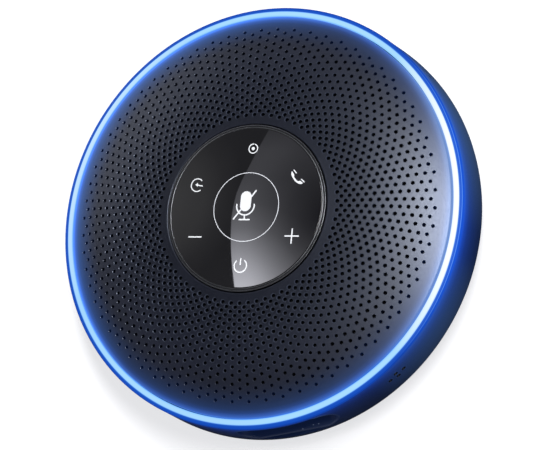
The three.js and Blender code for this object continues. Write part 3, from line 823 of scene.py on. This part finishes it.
def ring_points(cx, cy, r, a0, a1, n):
    return [(cx + r * math.cos(rad(a0 + (a1 - a0) * i / n)), cy + r * math.sin(rad(a0 + (a1 - a0) * i / n))) for i in range(n + 1)]


def at(phi, r=17.3):
    return r * math.cos(rad(phi)), r * math.sin(rad(phi))


def annulus(r, width, n=192):
    """A closed printed ring round the panel's middle."""
    return stroke(ring_points(0, 0, r, 0, 360, n)[:-1], width, closed=True)


def ring_inlay(name, r, width, surface, n=192, lift=0.012, depth=0.06, cx=0.0, cy=0.0):
    verts, faces = [], []
    for rr in (r - width / 2, r + width / 2):
        for dz in (lift, -depth):
            for i in range(n):
                a = 2 * math.pi * i / n
                x, y = cx + rr * math.cos(a), cy + rr * math.sin(a)
                verts.append((x, y, panel_z(x, y) + dz))
    it, ib, ot, obm = (k * n for k in range(4))
    for i in range(n):
        j = (i + 1) % n
        faces += [[it + i, ot + i, ot + j, it + j], [ot + i, obm + i, obm + j, ot + j], [ib + i, it + i, it + j, ib + j], [ib + j, obm + j, obm + i, ib + i]]
    ob = make(name, verts, faces, surface, 30)
    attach(ob, BODY)
    return ob


ring_inlay("print_key_circle", 10.05, 0.20, ink_line, cx=0.15, cy=0.1)
capsule = ring_points(-0.1, 1.77 + 1.27, 1.66, 0, 180, 20) + ring_points(-0.1, 1.77 - 1.27, 1.66, 180, 360, 20)
mic_marks = [capsule]
mic_marks += stroke(ring_points(-0.08, 0.5, 2.74, 173, 367, 40), 0.40)
mic_marks += stroke([(-0.08, -2.2), (-0.08, -3.45)], 0.40)
mic_marks += stroke([(-1.62, -3.6), (1.46, -3.6)], 0.42)
mic_marks += stroke([(-3.42, -3.38), (-1.42, -0.76)], 0.43)
mic_marks += stroke([(1.58, 3.22), (2.76, 4.86)], 0.43)
for i, poly in enumerate(mic_marks):
    inlay("print_mute_%d" % (i + 1), [poly], 0, 0, ink, lift=0.012 + 0.001 * (i % 3))
x, y = at(-28.9)
inlay("print_louder_bar", stroke([(-2.05, 0), (2.05, 0)], 0.38), x, y, ink)
inlay("print_louder_post", stroke([(0, -2.05), (0, 2.05)], 0.38), x, y, ink, lift=0.013)
x, y = at(-150.0)
inlay("print_quieter_bar", stroke([(-1.95, 0), (1.95, 0)], 0.38), x, y, ink)
x, y = at(-88.9)
inlay("print_power_arc", stroke(ring_points(-0.14, 0.29, 1.92, 134, 411, 48), 0.36), x, y, ink)
inlay("print_power_bar", stroke([(-0.2, 2.32), (-0.2, 0.68)], 0.40), x, y, ink)
x, y = at(158.1)
inlay("print_mode_arc", stroke(ring_points(0.05, 0.16, 1.88, 46, 306, 48), 0.31), x, y, ink)
inlay("print_mode_head", [[(-0.58, 0.28), (0.18, 0.84), (0.26, 0.46), (0.36, 0.16), (0.24, -0.32)]], x, y, ink)
inlay("print_mode_shaft", stroke([(0.3, 0.16), (1.72, -0.1)], 0.34), x, y, ink, lift=0.013)
x, y = at(29.2)


def smooth_loop(points, steps=4):
    """A closed curve through the points."""
    p = np.array(points, float)
    n = len(p)
    out = []
    for i in range(n):
        a, b, c, d = p[i - 1], p[i], p[(i + 1) % n], p[(i + 2) % n]
        for k in range(steps):
            t = k / steps
            out.append(tuple(0.5 * (2 * b + (c - a) * t + (2 * a - 5 * b + 4 * c - d) * t * t + (3 * b - a - 3 * c + d) * t**3)))
    return out


HANDSET = [(-1.92, 1.93), (-1.96, 1.20), (-1.66, 0.48), (-1.18, -0.17), (-0.63, -0.82), (0.0, -1.28), (0.67, -1.60),
           (1.33, -1.68), (1.84, -1.45), (1.50, -1.10), (0.90, -0.74), (0.34, -0.84), (-0.14, -0.56), (-0.66, -0.03), (-1.06, 0.54), (-1.02, 0.98), (-1.30, 1.44), (-1.72, 1.96)]
inlay("print_call_handset", [smooth_loop(HANDSET)], x, y, ink)
inlay("print_call_dash_1", stroke([(-1.24, 2.36), (-0.46, 1.54)], 0.31), x, y, ink)
inlay("print_call_dash_2", stroke([(1.32, -0.30), (2.20, -1.08)], 0.31), x, y, ink)
x, y = at(88.4)
inlay("print_status_ring", stroke(ring_points(0, 0, 1.35, 90, 430, 40), 0.31), x, y, ink)
inlay("print_status_dot", [ring_points(0, 0, 0.5, 0, 345, 23)], x, y, ink)

# --------------------------------------------------------------- lit ring
ring = lathe("light_ring_lit", [(59.5, 23.72), (62.28, 23.72), (62.3, 24.22)] + arc(61.95, 24.25, 0.35, 0, 62, 6)
             + [(61.75, 24.68), (61.3, 24.86), (60.9, 25.02), (60.5, 25.16), (60.1, 25.27), (59.8, 25.31), (59.6, 25.28), (59.5, 25.18)],
             diffuser, 320, 40)
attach(ring, BODY)
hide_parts("light_ring")


# --------------------------------------------------------------- side wall
def wall_r(z):
    return 62.3 + (23.4 - z) * 0.4 / 12.4


def bay_point(s, z, d):
    """Local bay coordinates: s to the right along the wall, z up, d out from the axis."""
    c, n = math.cos(BAY_TURN), math.sin(BAY_TURN)
    return (c * s + n * d, n * s - c * d, z)


def oblong(half_l, half_h, n=24):
    k = half_l - half_h
    return ring_points(k, 0, half_h, -90, 90, n) + ring_points(-k, 0, half_h, 90, 270, n)


housing = lathe("side_wall", [(60.6, 9.62), (62.1, 9.6), (62.36, 9.68), (62.58, 9.92), (62.68, 10.3), (62.7, 10.8), (62.67, 12.0),
                              (62.55, 15.6), (62.43, 19.4), (62.31, 23.2), (62.27, 23.5), (62.18, 23.62), (62.0, 23.66), (60.6, 23.66)], navy_wall, 256, 30)
tools = [tube("bay_cut", oblong(15.85, 5.45), 58, 66, lambda a, b, c: bay_point(a, BAY_Z + b, c))]
boolean(housing, tools)
pins = []
for angle in MIC_ANGLES:
    ca, sa = math.cos(rad(angle)), math.sin(rad(angle))
    for along, up in MIC_HOLES:
        pins.append(tube("pin_cut", [(0.80 * math.cos(2 * math.pi * i / 20), 0.80 * math.sin(2 * math.pi * i / 20)) for i in range(20)], 59, 65,
                         lambda a, b, c, ca=ca, sa=sa, along=along, up=up: (ca * c - sa * (along + a), sa * c + ca * (along + a), MIC_Z + up + b)))
boolean(housing, [join_tools(pins)])


def pin_rims():
    """A fine raised rim round each small hole, with painted shade on its bore and inner bevel."""
    for k, angle in enumerate(MIC_ANGLES):
        ca, sa = math.cos(rad(angle)), math.sin(rad(angle))
        verts, faces, index = [], [], []
        n = 24
        for along, up in MIC_HOLES:
            base = len(verts)
            R = wall_r(MIC_Z + up)
            prof = [(0.70, -1.2), (0.70, 0.00), (0.74, 0.05), (0.88, 0.06), (0.96, 0.01), (0.96, -0.06), (0.79, -0.10), (0.79, -1.2)]
            m = len(prof)
            for i in range(n):
                c, sn = math.cos(2 * math.pi * i / n), math.sin(2 * math.pi * i / n)
                for r, d in prof:
                    t = along + r * c
                    dist = math.sqrt(R * R - t * t) + d
                    verts.append((ca * dist - sa * t, sa * dist + ca * t, MIC_Z + up + r * sn))
            for i in range(n):
                for j in range(m):
                    a, b = base + i * m, base + ((i + 1) % n) * m
                    faces.append([a + j, b + j, b + (j + 1) % m, a + (j + 1) % m])
                    # the bore, the inner bevel and the bottom take the painted shade
                    index.append(1 if j in (0, 1, m - 1) else 0)
        ob = make("pin_rims_%d" % (k + 1), verts, faces, [pin_rim_painted_light, pin_painted_shade], 40, index)
        bm = bmesh.new()
        bm.from_mesh(ob.data)
        bmesh.ops.recalc_face_normals(bm, faces=bm.faces)
        bm.to_mesh(ob.data)
        bm.free()
        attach(ob, BODY)


pin_rims()


def wall_normals(ob):
    """True cylinder normals on the outer wall, so that the cuts leave no shading marks."""
    me = ob.data
    me.polygons.foreach_set("use_smooth", np.ones(len(me.polygons), bool))
    me.set_sharp_from_angle(angle=rad(30))
    co = np.array([v.co for v in me.vertices]) / MM
    out = [tuple(l.vector) for l in me.corner_normals]
    for poly in me.polygons:
        n = np.array(poly.normal)
        c = np.array(poly.center) / MM
        r = math.hypot(c[0], c[1])
        radial = np.array([c[0] / r, c[1] / r])
        if r > 61.8 and 11.0 < c[2] < 23.2 and n[:2] @ radial > 0.97:
            for li in poly.loop_indices:
                v = co[me.loops[li].vertex_index]
                rr = math.hypot(v[0], v[1])
                out[li] = tuple(Vector((v[0] / rr, v[1] / rr, 0.032)).normalized())
    me.normals_split_custom_set(out)


wall_normals(housing)
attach(housing, BODY)
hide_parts("main_housing")

# screw bosses inside the side wall, as the moulding has them
for i, angle in enumerate((56, 124, -124, -56)):
    cx, cy = 50.5 * math.cos(rad(angle)), 50.5 * math.sin(rad(angle))
    boss = lathe("screw_boss_%d" % (i + 1), [(1.4, 6.3), (2.7, 6.3), (2.9, 6.5), (2.9, 22.6), (2.7, 22.8), (1.4, 22.8)], navy_base, 32)
    boss.data.transform(Matrix.Translation((cx * MM, cy * MM, 0)))
    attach(boss, BODY)


# --------------------------------------------------------------- socket bay
def build_bezel():
    """A round-ended tray with a soft lip that follows the round wall, a pierced floor and rounded inner corners."""
    n = 30
    k = BAY_L - BAY_H
    path = []  # (centre of the end's arc, angle) pairs: offsets grow outward
    for i in range(n + 1):
        path.append((k, -90 + 180 * i / n))
    for i in range(n + 1):
        path.append((-k, 90 + 180 * i / n))
    profile = []  # (offset from the inner outline, depth: "wall" + value or absolute)
    profile += [(0.78, ("abs", 57.2)), (0.80, ("wall", -0.6)), (0.80, ("wall", -0.12)), (0.76, ("wall", -0.03)), (0.64, ("wall", 0.03)), (0.46, ("wall", 0.04)),
                (0.28, ("wall", 0.01)), (0.12, ("wall", -0.08)), (0.03, ("wall", -0.22)), (0.0, ("wall", -0.42)), (0.0, ("abs", BAY_FLOOR + 0.7)),
                (-0.06, ("abs", BAY_FLOOR + 0.36)), (-0.22, ("abs", BAY_FLOOR + 0.12)), (-0.5, ("abs", BAY_FLOOR)), (-1.1, ("abs", BAY_FLOOR))]
    verts, rows = [], []
    for cx, a in path:
        row = []
        for off, (mode, value) in profile:
            rr = BAY_H + off
            s, z = cx + rr * math.cos(rad(a)), rr * math.sin(rad(a))
            if mode == "abs":
                d = value
            else:
                R = wall_r(BAY_Z + z) + value
                d = math.sqrt(R * R - s * s)
            row.append(len(verts))
            verts.append(bay_point(s, BAY_Z + z, d))
        rows.append(row)
    faces = []
    m = len(rows)
    for i in range(m):
        A, B = rows[i], rows[(i + 1) % m]
        for j in range(len(profile) - 1):
            faces.append([A[j], B[j], B[j + 1], A[j + 1]][::-1])
    ob = make("bay_tray", verts, faces, bay_plastic, 40)
    bm = bmesh.new()
    bm.from_mesh(ob.data)
    bmesh.ops.recalc_face_normals(bm, faces=bm.faces)
    bm.to_mesh(ob.data)
    bm.free()
    return ob, [rows[i][-1] for i in range(m)], verts


tray, inner_loop, tray_verts = build_bezel()


def bay_floor():
    """The floor plate, pierced for the three sockets."""
    plate = tube("bay_floor", oblong(BAY_L - 1.0, BAY_H - 1.0), 55.3, BAY_FLOOR, lambda a, b, c: bay_point(a, BAY_Z + b, c))
    cuts = [tube("c", oblong(4.75, 1.9, 10), 54, 58, lambda a, b, c: bay_point(a, BAY_Z + b, c))]
    for s in (-9.2, 9.2):
        cuts.append(tube("c", [(2.05 * math.cos(2 * math.pi * i / 40), 2.05 * math.sin(2 * math.pi * i / 40)) for i in range(40)], 54, 58,
                         lambda a, b, c, s=s: bay_point(a + s, BAY_Z + b, c)))
    boolean(plate, [join_tools(cuts)])
    plate.data.materials.clear()
    plate.data.materials.append(bay_plastic)
    plate.data.polygons.foreach_set("use_smooth", np.ones(len(plate.data.polygons), bool))
    plate.data.set_sharp_from_angle(angle=rad(30))
    return plate


floor_plate = bay_floor()
for o in (tray, floor_plate):
    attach(o, BODY)
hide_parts("port_bezel")


def socket_ring(name, s, r0, r1, d0, d1, surface, oval=0.0):
    """A turned or pressed collar round a socket's mouth."""
    prof = [(r0, d0), (r1, d0), (r1, d1 - 0.12), (r1 - 0.12, d1), (r0 + 0.15, d1), (r0, d1 - 0.15)]
    n = 40
    verts, faces = [], []
    for i in range(n):
        a = 2 * math.pi * i / n
        shift = oval * (1 if math.cos(a) >= 0 else -1)
        for r, d in prof:
            verts.append(bay_point(s + shift + r * math.cos(a), BAY_Z + r * math.sin(a), d))
    m = len(prof)
    for i in range(n):
        for j in range(m):
            a, b = i * m, ((i + 1) % n) * m
            faces.append([a + j, a + (j + 1) % m, b + (j + 1) % m, b + j])
    ob = make(name, verts, faces, surface, 35)
    bm = bmesh.new()
    bm.from_mesh(ob.data)
    bmesh.ops.recalc_face_normals(bm, faces=bm.faces)
    bm.to_mesh(ob.data)
    bm.free()
    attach(ob, BODY)
    return ob


# small pale marks on the bay's lower side; their ink glows by emission, as painted light
for k, (ms, md) in enumerate(((2.86, 61.32), (6.16, 60.7), (7.83, 60.7))):
    pts = []
    for i in range(20):
        a = 2 * math.pi * i / 20
        pts.append((0.16 * math.cos(a) * (1.3 if k == 0 else 1.0), 0.16 * math.sin(a)))
    mark = tube("bay_mark_%d" % (k + 1), pts, 12.84, 12.90, lambda a, b, c: bay_point(ms + a, c, md + b))
    mark.data.materials.append(ink_dim)
    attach(mark, BODY)

socket_ring("socket_collar_left", -9.2, 1.95, 2.75, 55.6, 56.85, steel)
socket_ring("socket_collar_right", 9.2, 1.95, 2.75, 55.6, 56.85, steel)
socket_ring("socket_collar_middle", 0.0, 1.68, 1.98, 55.6, 56.8, steel, oval=2.85)

# --------------------------------------------------------------- base and foot
base_profile = [(0, 1.0), (20, 1.0), (46.4, 1.0), (46.65, 1.15), (46.7, 2.1), (54.8, 2.1), (54.85, 1.15), (55.1, 1.0), (55.6, 1.02), (56.1, 1.2), (56.6, 1.62),
                (57.6, 2.7), (58.5, 3.75), (59.5, 5.05), (60.4, 6.35), (61.2, 7.65), (61.85, 8.8), (62.02, 9.15), (61.98, 9.33), (61.8, 9.4),
                (60.3, 9.4), (60.3, 11.5), (60.15, 11.6), (59.1, 11.6), (59.0, 9.0), (57.4, 6.2), (55.6, 3.4), (45.5, 3.4), (44.5, 2.6), (0, 2.6)]
base = lathe("base_shell", base_profile, navy_base, 256, 32)
holes = []
for angle in (56, 124, -124, -56):
    cx, cy = 50.5 * math.cos(rad(angle)), 50.5 * math.sin(rad(angle))
    holes.append(tube("screw_well", [(cx + 2.5 * math.cos(2 * math.pi * i / 32), cy + 2.5 * math.sin(2 * math.pi * i / 32)) for i in range(32)], 0.5, 6.0, lambda a, b, c: (a, b, c)))
boolean(base, [join_tools(holes)])
base.data.polygons.foreach_set("use_smooth", np.ones(len(base.data.polygons), bool))
base.data.set_sharp_from_angle(angle=rad(32))
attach(base, BODY)
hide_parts("base_cover")

foot_profile = [(47.15, 1.8), (47.0, 1.6), (47.0, 0.5), (47.2, 0.15), (47.6, 0.0), (48.4, 0.0)]
for r in (49.2, 50.75, 52.3):  # shallow grooves in the tread
    foot_profile += [(r - 0.45, 0.0), (r - 0.3, 0.28), (r + 0.3, 0.28), (r + 0.45, 0.0)]
foot_profile += [(53.4, 0.0), (53.9, 0.0), (54.3, 0.15), (54.5, 0.5), (54.5, 1.6), (54.35, 1.8)]
foot = lathe("foot_pad_ring", foot_profile, rubber, 192, 30)
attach(foot, BODY)
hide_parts("foot_ring")

plate = lathe("rating_label", [(0, 0.72), (0, 0.5), (19.6, 0.5), (19.75, 0.56), (20.2, 0.56), (20.35, 0.5), (21.85, 0.5), (22.0, 0.6), (22.0, 0.72)], label, 128, 30)
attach(plate, BODY)
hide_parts("rating_plate")

# --------------------------------------------------------------- the other CAD nodes
BY_SLOT = {
    "shell_navy": navy_base, "acoustic_cloth": acoustic, "trim_metal": trim, "panel_gloss": panel_gloss, "circuit_board": board,
    "black_plastic": black_plastic, "bay_plastic": bay_plastic, "light_diffuser": diffuser, "foot_rubber": rubber, "label_film": label,
    "plated_steel": steel, "connector_cream": cream, "cell_wrap": cell, "magnet_ferrite": ferrite, "copper_wire": copper,
    "speaker_paper": paper, "flex_film": flex, "lead_red": lead_red, "lead_black": lead_black,
}
slot_of = {s["node"]: s["material_slot"] for s in frame["record"]["subparts"]}
for name, ob in frame["nodes"].items():
    ob.data.materials.clear()
    ob.data.materials.append(BY_SLOT[slot_of[name]])

# the surround and the spider, which stretch between the fixed frame and the cone, are copied unchanged from the CAD
# meshes
for name, start, end in (("speaker_surround", 0.02410, 0.02490), ("speaker_spider", 0.01665, 0.01735)):
    src = frame["nodes"][name]
    me = src.data.copy()
    soft = bpy.data.objects.new(name + "_soft", me)
    collection.objects.link(soft)
    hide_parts(name)
    if name == "speaker_surround":
        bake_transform(soft)
    else:
        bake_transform(soft)

# --------------------------------------------------------------- camera
CAM_AXES = ((0.912730, 0.098087, -0.396606), (0.000644, 0.970403, 0.241479), (0.408553, -0.220660, 0.885659))
CAM_AT = (0.36637517, -0.19782343, 0.80716179)
cam_data = bpy.data.cameras.new("camera")
cam_data.sensor_width = 36.0
cam_data.sensor_fit = "HORIZONTAL"
cam_data.lens = 202.49
cam_data.clip_start = 0.05
cam_data.clip_end = 50.0
cam = bpy.data.objects.new("camera", cam_data)
collection.objects.link(cam)
mat = Matrix.Identity(4)
for j in range(3):
    for i in range(3):
        mat[i][j] = CAM_AXES[j][i]
for i in range(3):
    mat[i][3] = CAM_AT[i]
cam.matrix_world = mat
bpy.context.scene.camera = cam


# --------------------------------------------------------------- stage and light
def floor_material():
    m, nt, p = nodes_of("floor_pale")
    slow = noise_of(nt, 3, 2)
    c = ramp(nt, slow.outputs["Fac"], [(0.3, (0.23, 0.23, 0.234)), (0.7, (0.25, 0.25, 0.254))])
    nt.links.new(c.outputs["Color"], p.inputs["Base Color"])
    p.inputs["Roughness"].default_value = 0.9
    p.inputs["Specular IOR Level"].default_value = 0.1
    p.inputs["Emission Color"].default_value = (0.97, 0.975, 1.0, 1)
    p.inputs["Emission Strength"].default_value = 0.73
    return m


bm = bmesh.new()
bmesh.ops.create_circle(bm, cap_ends=True, segments=96, radius=6.0)
floor_mesh = bpy.data.meshes.new("floor")
bm.to_mesh(floor_mesh)
bm.free()
floor_mesh.materials.append(floor_material())
floor = bpy.data.objects.new("floor", floor_mesh)
collection.objects.link(floor)
floor.location.z = -0.0001
floor.visible_glossy = False

world = bpy.data.worlds.new("studio")
bpy.context.scene.world = world
world.use_nodes = True
wn = world.node_tree
bg = wn.nodes["Background"]
tc = wn.nodes.new("ShaderNodeTexCoord")
sep = wn.nodes.new("ShaderNodeSeparateXYZ")
wn.links.new(tc.outputs["Generated"], sep.inputs[0])
wr = wn.nodes.new("ShaderNodeValToRGB")
m0 = wn.nodes.new("ShaderNodeMapRange")
m0.inputs["From Min"].default_value = -1.0
m0.inputs["From Max"].default_value = 1.0
wn.links.new(sep.outputs["Z"], m0.inputs["Value"])
wn.links.new(m0.outputs["Result"], wr.inputs["Fac"])
stops = [(0.0, 0.03), (0.44, 0.04), (0.50, 0.85), (0.62, 0.80), (0.73, 0.50), (0.80, 0.24), (0.90, 0.14), (1.0, 0.11)]
while len(wr.color_ramp.elements) < len(stops):
    wr.color_ramp.elements.new(0.5)
for e, (p, v) in zip(wr.color_ramp.elements, stops):
    e.position = p
    e.color = (v * 0.98, v * 0.99, v * 1.02, 1)
wn.links.new(wr.outputs["Color"], bg.inputs["Color"])
bg.inputs["Strength"].default_value = 1.0


def area(name, loc, target, size, power, colour=(1, 1, 1), size_y=None, glossy=True):
    d = bpy.data.lights.new(name, "AREA")
    d.shape = "ELLIPSE" if size_y else "DISK"
    d.size = size
    if size_y:
        d.size_y = size_y
    d.energy = power
    d.color = colour
    o = bpy.data.objects.new(name, d)
    collection.objects.link(o)
    o.location = loc
    o.rotation_euler = (Vector(target) - Vector(loc)).to_track_quat("-Z", "Y").to_euler()
    o.visible_camera = False
    o.visible_glossy = glossy
    return o


key_dir = Vector((0.340, 0.180, 0.919)).normalized()
area("key", key_dir * 1.6, (0, 0, 0.02), 0.95, 42.0, size_y=0.28)
area("fill", Vector((-0.76, 0.43, 0.48)).normalized() * 1.5, (0, 0, 0.02), 0.95, 2.1, size_y=0.35)


# a soft reflector card overhead, seen in the gloss panel: its near edge is a gentle curve
def card():
    C = np.array([0.36637517, -0.19782343, 0.80716179]) * 1000
    H = 1400.0

    def hit(x, y):
        p = np.array([x, y, panel_z(x, y)])
        v = C - p
        v /= np.linalg.norm(v)
        n = np.array([x / PANEL_SPHERE, y / PANEL_SPHERE, 1.0])
        n /= np.linalg.norm(n)
        r = 2 * (n @ v) * n - v
        return p + r * (H - p[2]) / r[2]

    edge_mm = [(6.6, 32.0), (5.1, 23.5), (2.4, 18.0), (0.0, 12.5), (-2.0, 8.0), (-3.3, 4.0), (-3.9, 0.0), (-4.05, -3.5), (-3.75, -8.0), (-3.1, -13.0), (-2.3, -17.5), (-0.9, -23.4), (1.4, -32.0)]
    left = [hit(*p) for p in edge_mm]
    right = [hit(x + 62.0, y) for x, y in edge_mm]
    verts, faces, shade = [], [], []
    nx = 24
    for (a, b), (px_, py_) in zip(zip(left, right), edge_mm):
        for i in range(nx + 1):
            verts.append(tuple(a + (b - a) * i / nx))
    for j in range(len(edge_mm) - 1):
        for i in range(nx):
            q = j * (nx + 1) + i
            faces.append([q, q + nx + 1, q + nx + 2, q + 1])
    return verts, faces, hit


verts, faces, hit = card()
me = bpy.data.meshes.new("reflector_card")
me.from_pydata([tuple(np.array(v) * MM) for v in verts], [], faces)
me.update()
m = bpy.data.materials.new("card_glow")
m.use_nodes = True
nt = m.node_tree
nt.nodes.clear()
out = nt.nodes.new("ShaderNodeOutputMaterial")
em = nt.nodes.new("ShaderNodeEmission")
nt.links.new(em.outputs[0], out.inputs["Surface"])
tcx = nt.nodes.new("ShaderNodeTexCoord")
sepx = nt.nodes.new("ShaderNodeSeparateXYZ")
nt.links.new(tcx.outputs["Object"], sepx.inputs[0])
# distance from the brightest spot, seen at the panel's front edge
spot = hit(0.0, -27.0)
vm = nt.nodes.new("ShaderNodeVectorMath")
vm.operation = "DISTANCE"
nt.links.new(tcx.outputs["Object"], vm.inputs[0])
vm.inputs[1].default_value = tuple(np.array(spot) * MM)
far = float(np.linalg.norm((hit(20.0, 20.0) - spot) * MM))
mr = nt.nodes.new("ShaderNodeMapRange")
mr.inputs["From Min"].default_value = 0.0
mr.inputs["From Max"].default_value = far
nt.links.new(vm.outputs["Value"], mr.inputs["Value"])
cr = nt.nodes.new("ShaderNodeValToRGB")
levels = [(0.0, 13.0), (0.12, 10.0), (0.28, 6.0), (0.42, 3.0), (0.56, 1.6), (0.72, 1.05), (0.88, 0.9), (1.0, 0.55)]
while len(cr.color_ramp.elements) < len(levels):
    cr.color_ramp.elements.new(0.5)
for e, (p, v) in zip(cr.color_ramp.elements, levels):
    e.position = p
    e.color = (v / 13.0, v / 13.0 * 1.005, v / 13.0 * 1.10, 1)
nt.links.new(mr.outputs["Result"], cr.inputs["Fac"])


def falloff(tree, coord, x, y, reach, stops):
    """Grey levels by distance, in panel millimetres, from the card point seen in the panel at (x, y)."""
    d = tree.nodes.new("ShaderNodeVectorMath")
    d.operation = "DISTANCE"
    tree.links.new(coord, d.inputs[0])
    centre = hit(x, y)
    d.inputs[1].default_value = tuple(np.array(centre) * MM)
    unit = float(np.linalg.norm((hit(x - 25.0, y) - centre) * MM)) / 25.0
    r = tree.nodes.new("ShaderNodeMapRange")
    r.inputs["From Max"].default_value = reach * unit
    tree.links.new(d.outputs["Value"], r.inputs["Value"])
    c = tree.nodes.new("ShaderNodeValToRGB")
    while len(c.color_ramp.elements) < len(stops):
        c.color_ramp.elements.new(0.5)
    for e, (q, v) in zip(c.color_ramp.elements, stops):
        e.position = q / reach
        e.color = (v, v, v, 1)
    tree.links.new(r.outputs["Result"], c.inputs["Fac"])
    return c.outputs["Color"]


dim = falloff(nt, tcx.outputs["Object"], 24.0, -2.0, 26.0, [(0, 0.08), (4, 0.18), (10, 0.34), (14, 0.50), (17, 0.60), (20, 0.74), (23, 0.90), (26, 1.0)])
mul = nt.nodes.new("ShaderNodeMix")
mul.data_type = "RGBA"
mul.blend_type = "MULTIPLY"
mul.inputs[0].default_value = 1.0
nt.links.new(cr.outputs["Color"], mul.inputs[6])
nt.links.new(dim, mul.inputs[7])
nt.links.new(mul.outputs[2], em.inputs["Color"])
em.inputs["Strength"].default_value = 13.0
me.materials.append(m)
card_ob = bpy.data.objects.new("reflector_card", me)
collection.objects.link(card_ob)
card_ob.visible_camera = False
card_ob.visible_diffuse = False
card_ob.visible_shadow = False

# a much dimmer card on the other side of that edge
left_edge = [v for i, v in enumerate(verts) if i % 25 == 0]
shift = hit(-66.0, 0.0) - hit(-4.0, 0.0)
far_edge = [tuple(np.array(v) + shift) for v in left_edge]
n = len(left_edge)
me = bpy.data.meshes.new("dim_card")
me.from_pydata([tuple(np.array(v) * MM) for v in left_edge + far_edge], [], [[i, i + 1, n + i + 1, n + i] for i in range(n - 1)])
me.update()
m = bpy.data.materials.new("dim_card_glow")
m.use_nodes = True
nt = m.node_tree
nt.nodes.clear()
out = nt.nodes.new("ShaderNodeOutputMaterial")
em = nt.nodes.new("ShaderNodeEmission")
nt.links.new(em.outputs[0], out.inputs["Surface"])
tcx = nt.nodes.new("ShaderNodeTexCoord")
grey = falloff(nt, tcx.outputs["Object"], -26.0, 1.0, 40.0, [(0, 0.78), (5, 0.74), (12, 0.58), (18, 0.32), (23, 0.20), (40, 0.17)])
nt.links.new(grey, em.inputs["Color"])
em.inputs["Strength"].default_value = 1.0
me.materials.append(m)
dim_ob = bpy.data.objects.new("dim_card", me)
collection.objects.link(dim_ob)
dim_ob.visible_camera = False
dim_ob.visible_diffuse = False
dim_ob.visible_shadow = False

scene = bpy.context.scene
scene.view_settings.view_transform = "Standard"
scene.view_settings.look = "None"
scene.view_settings.exposure = 0.0
scene.view_settings.gamma = 1.0
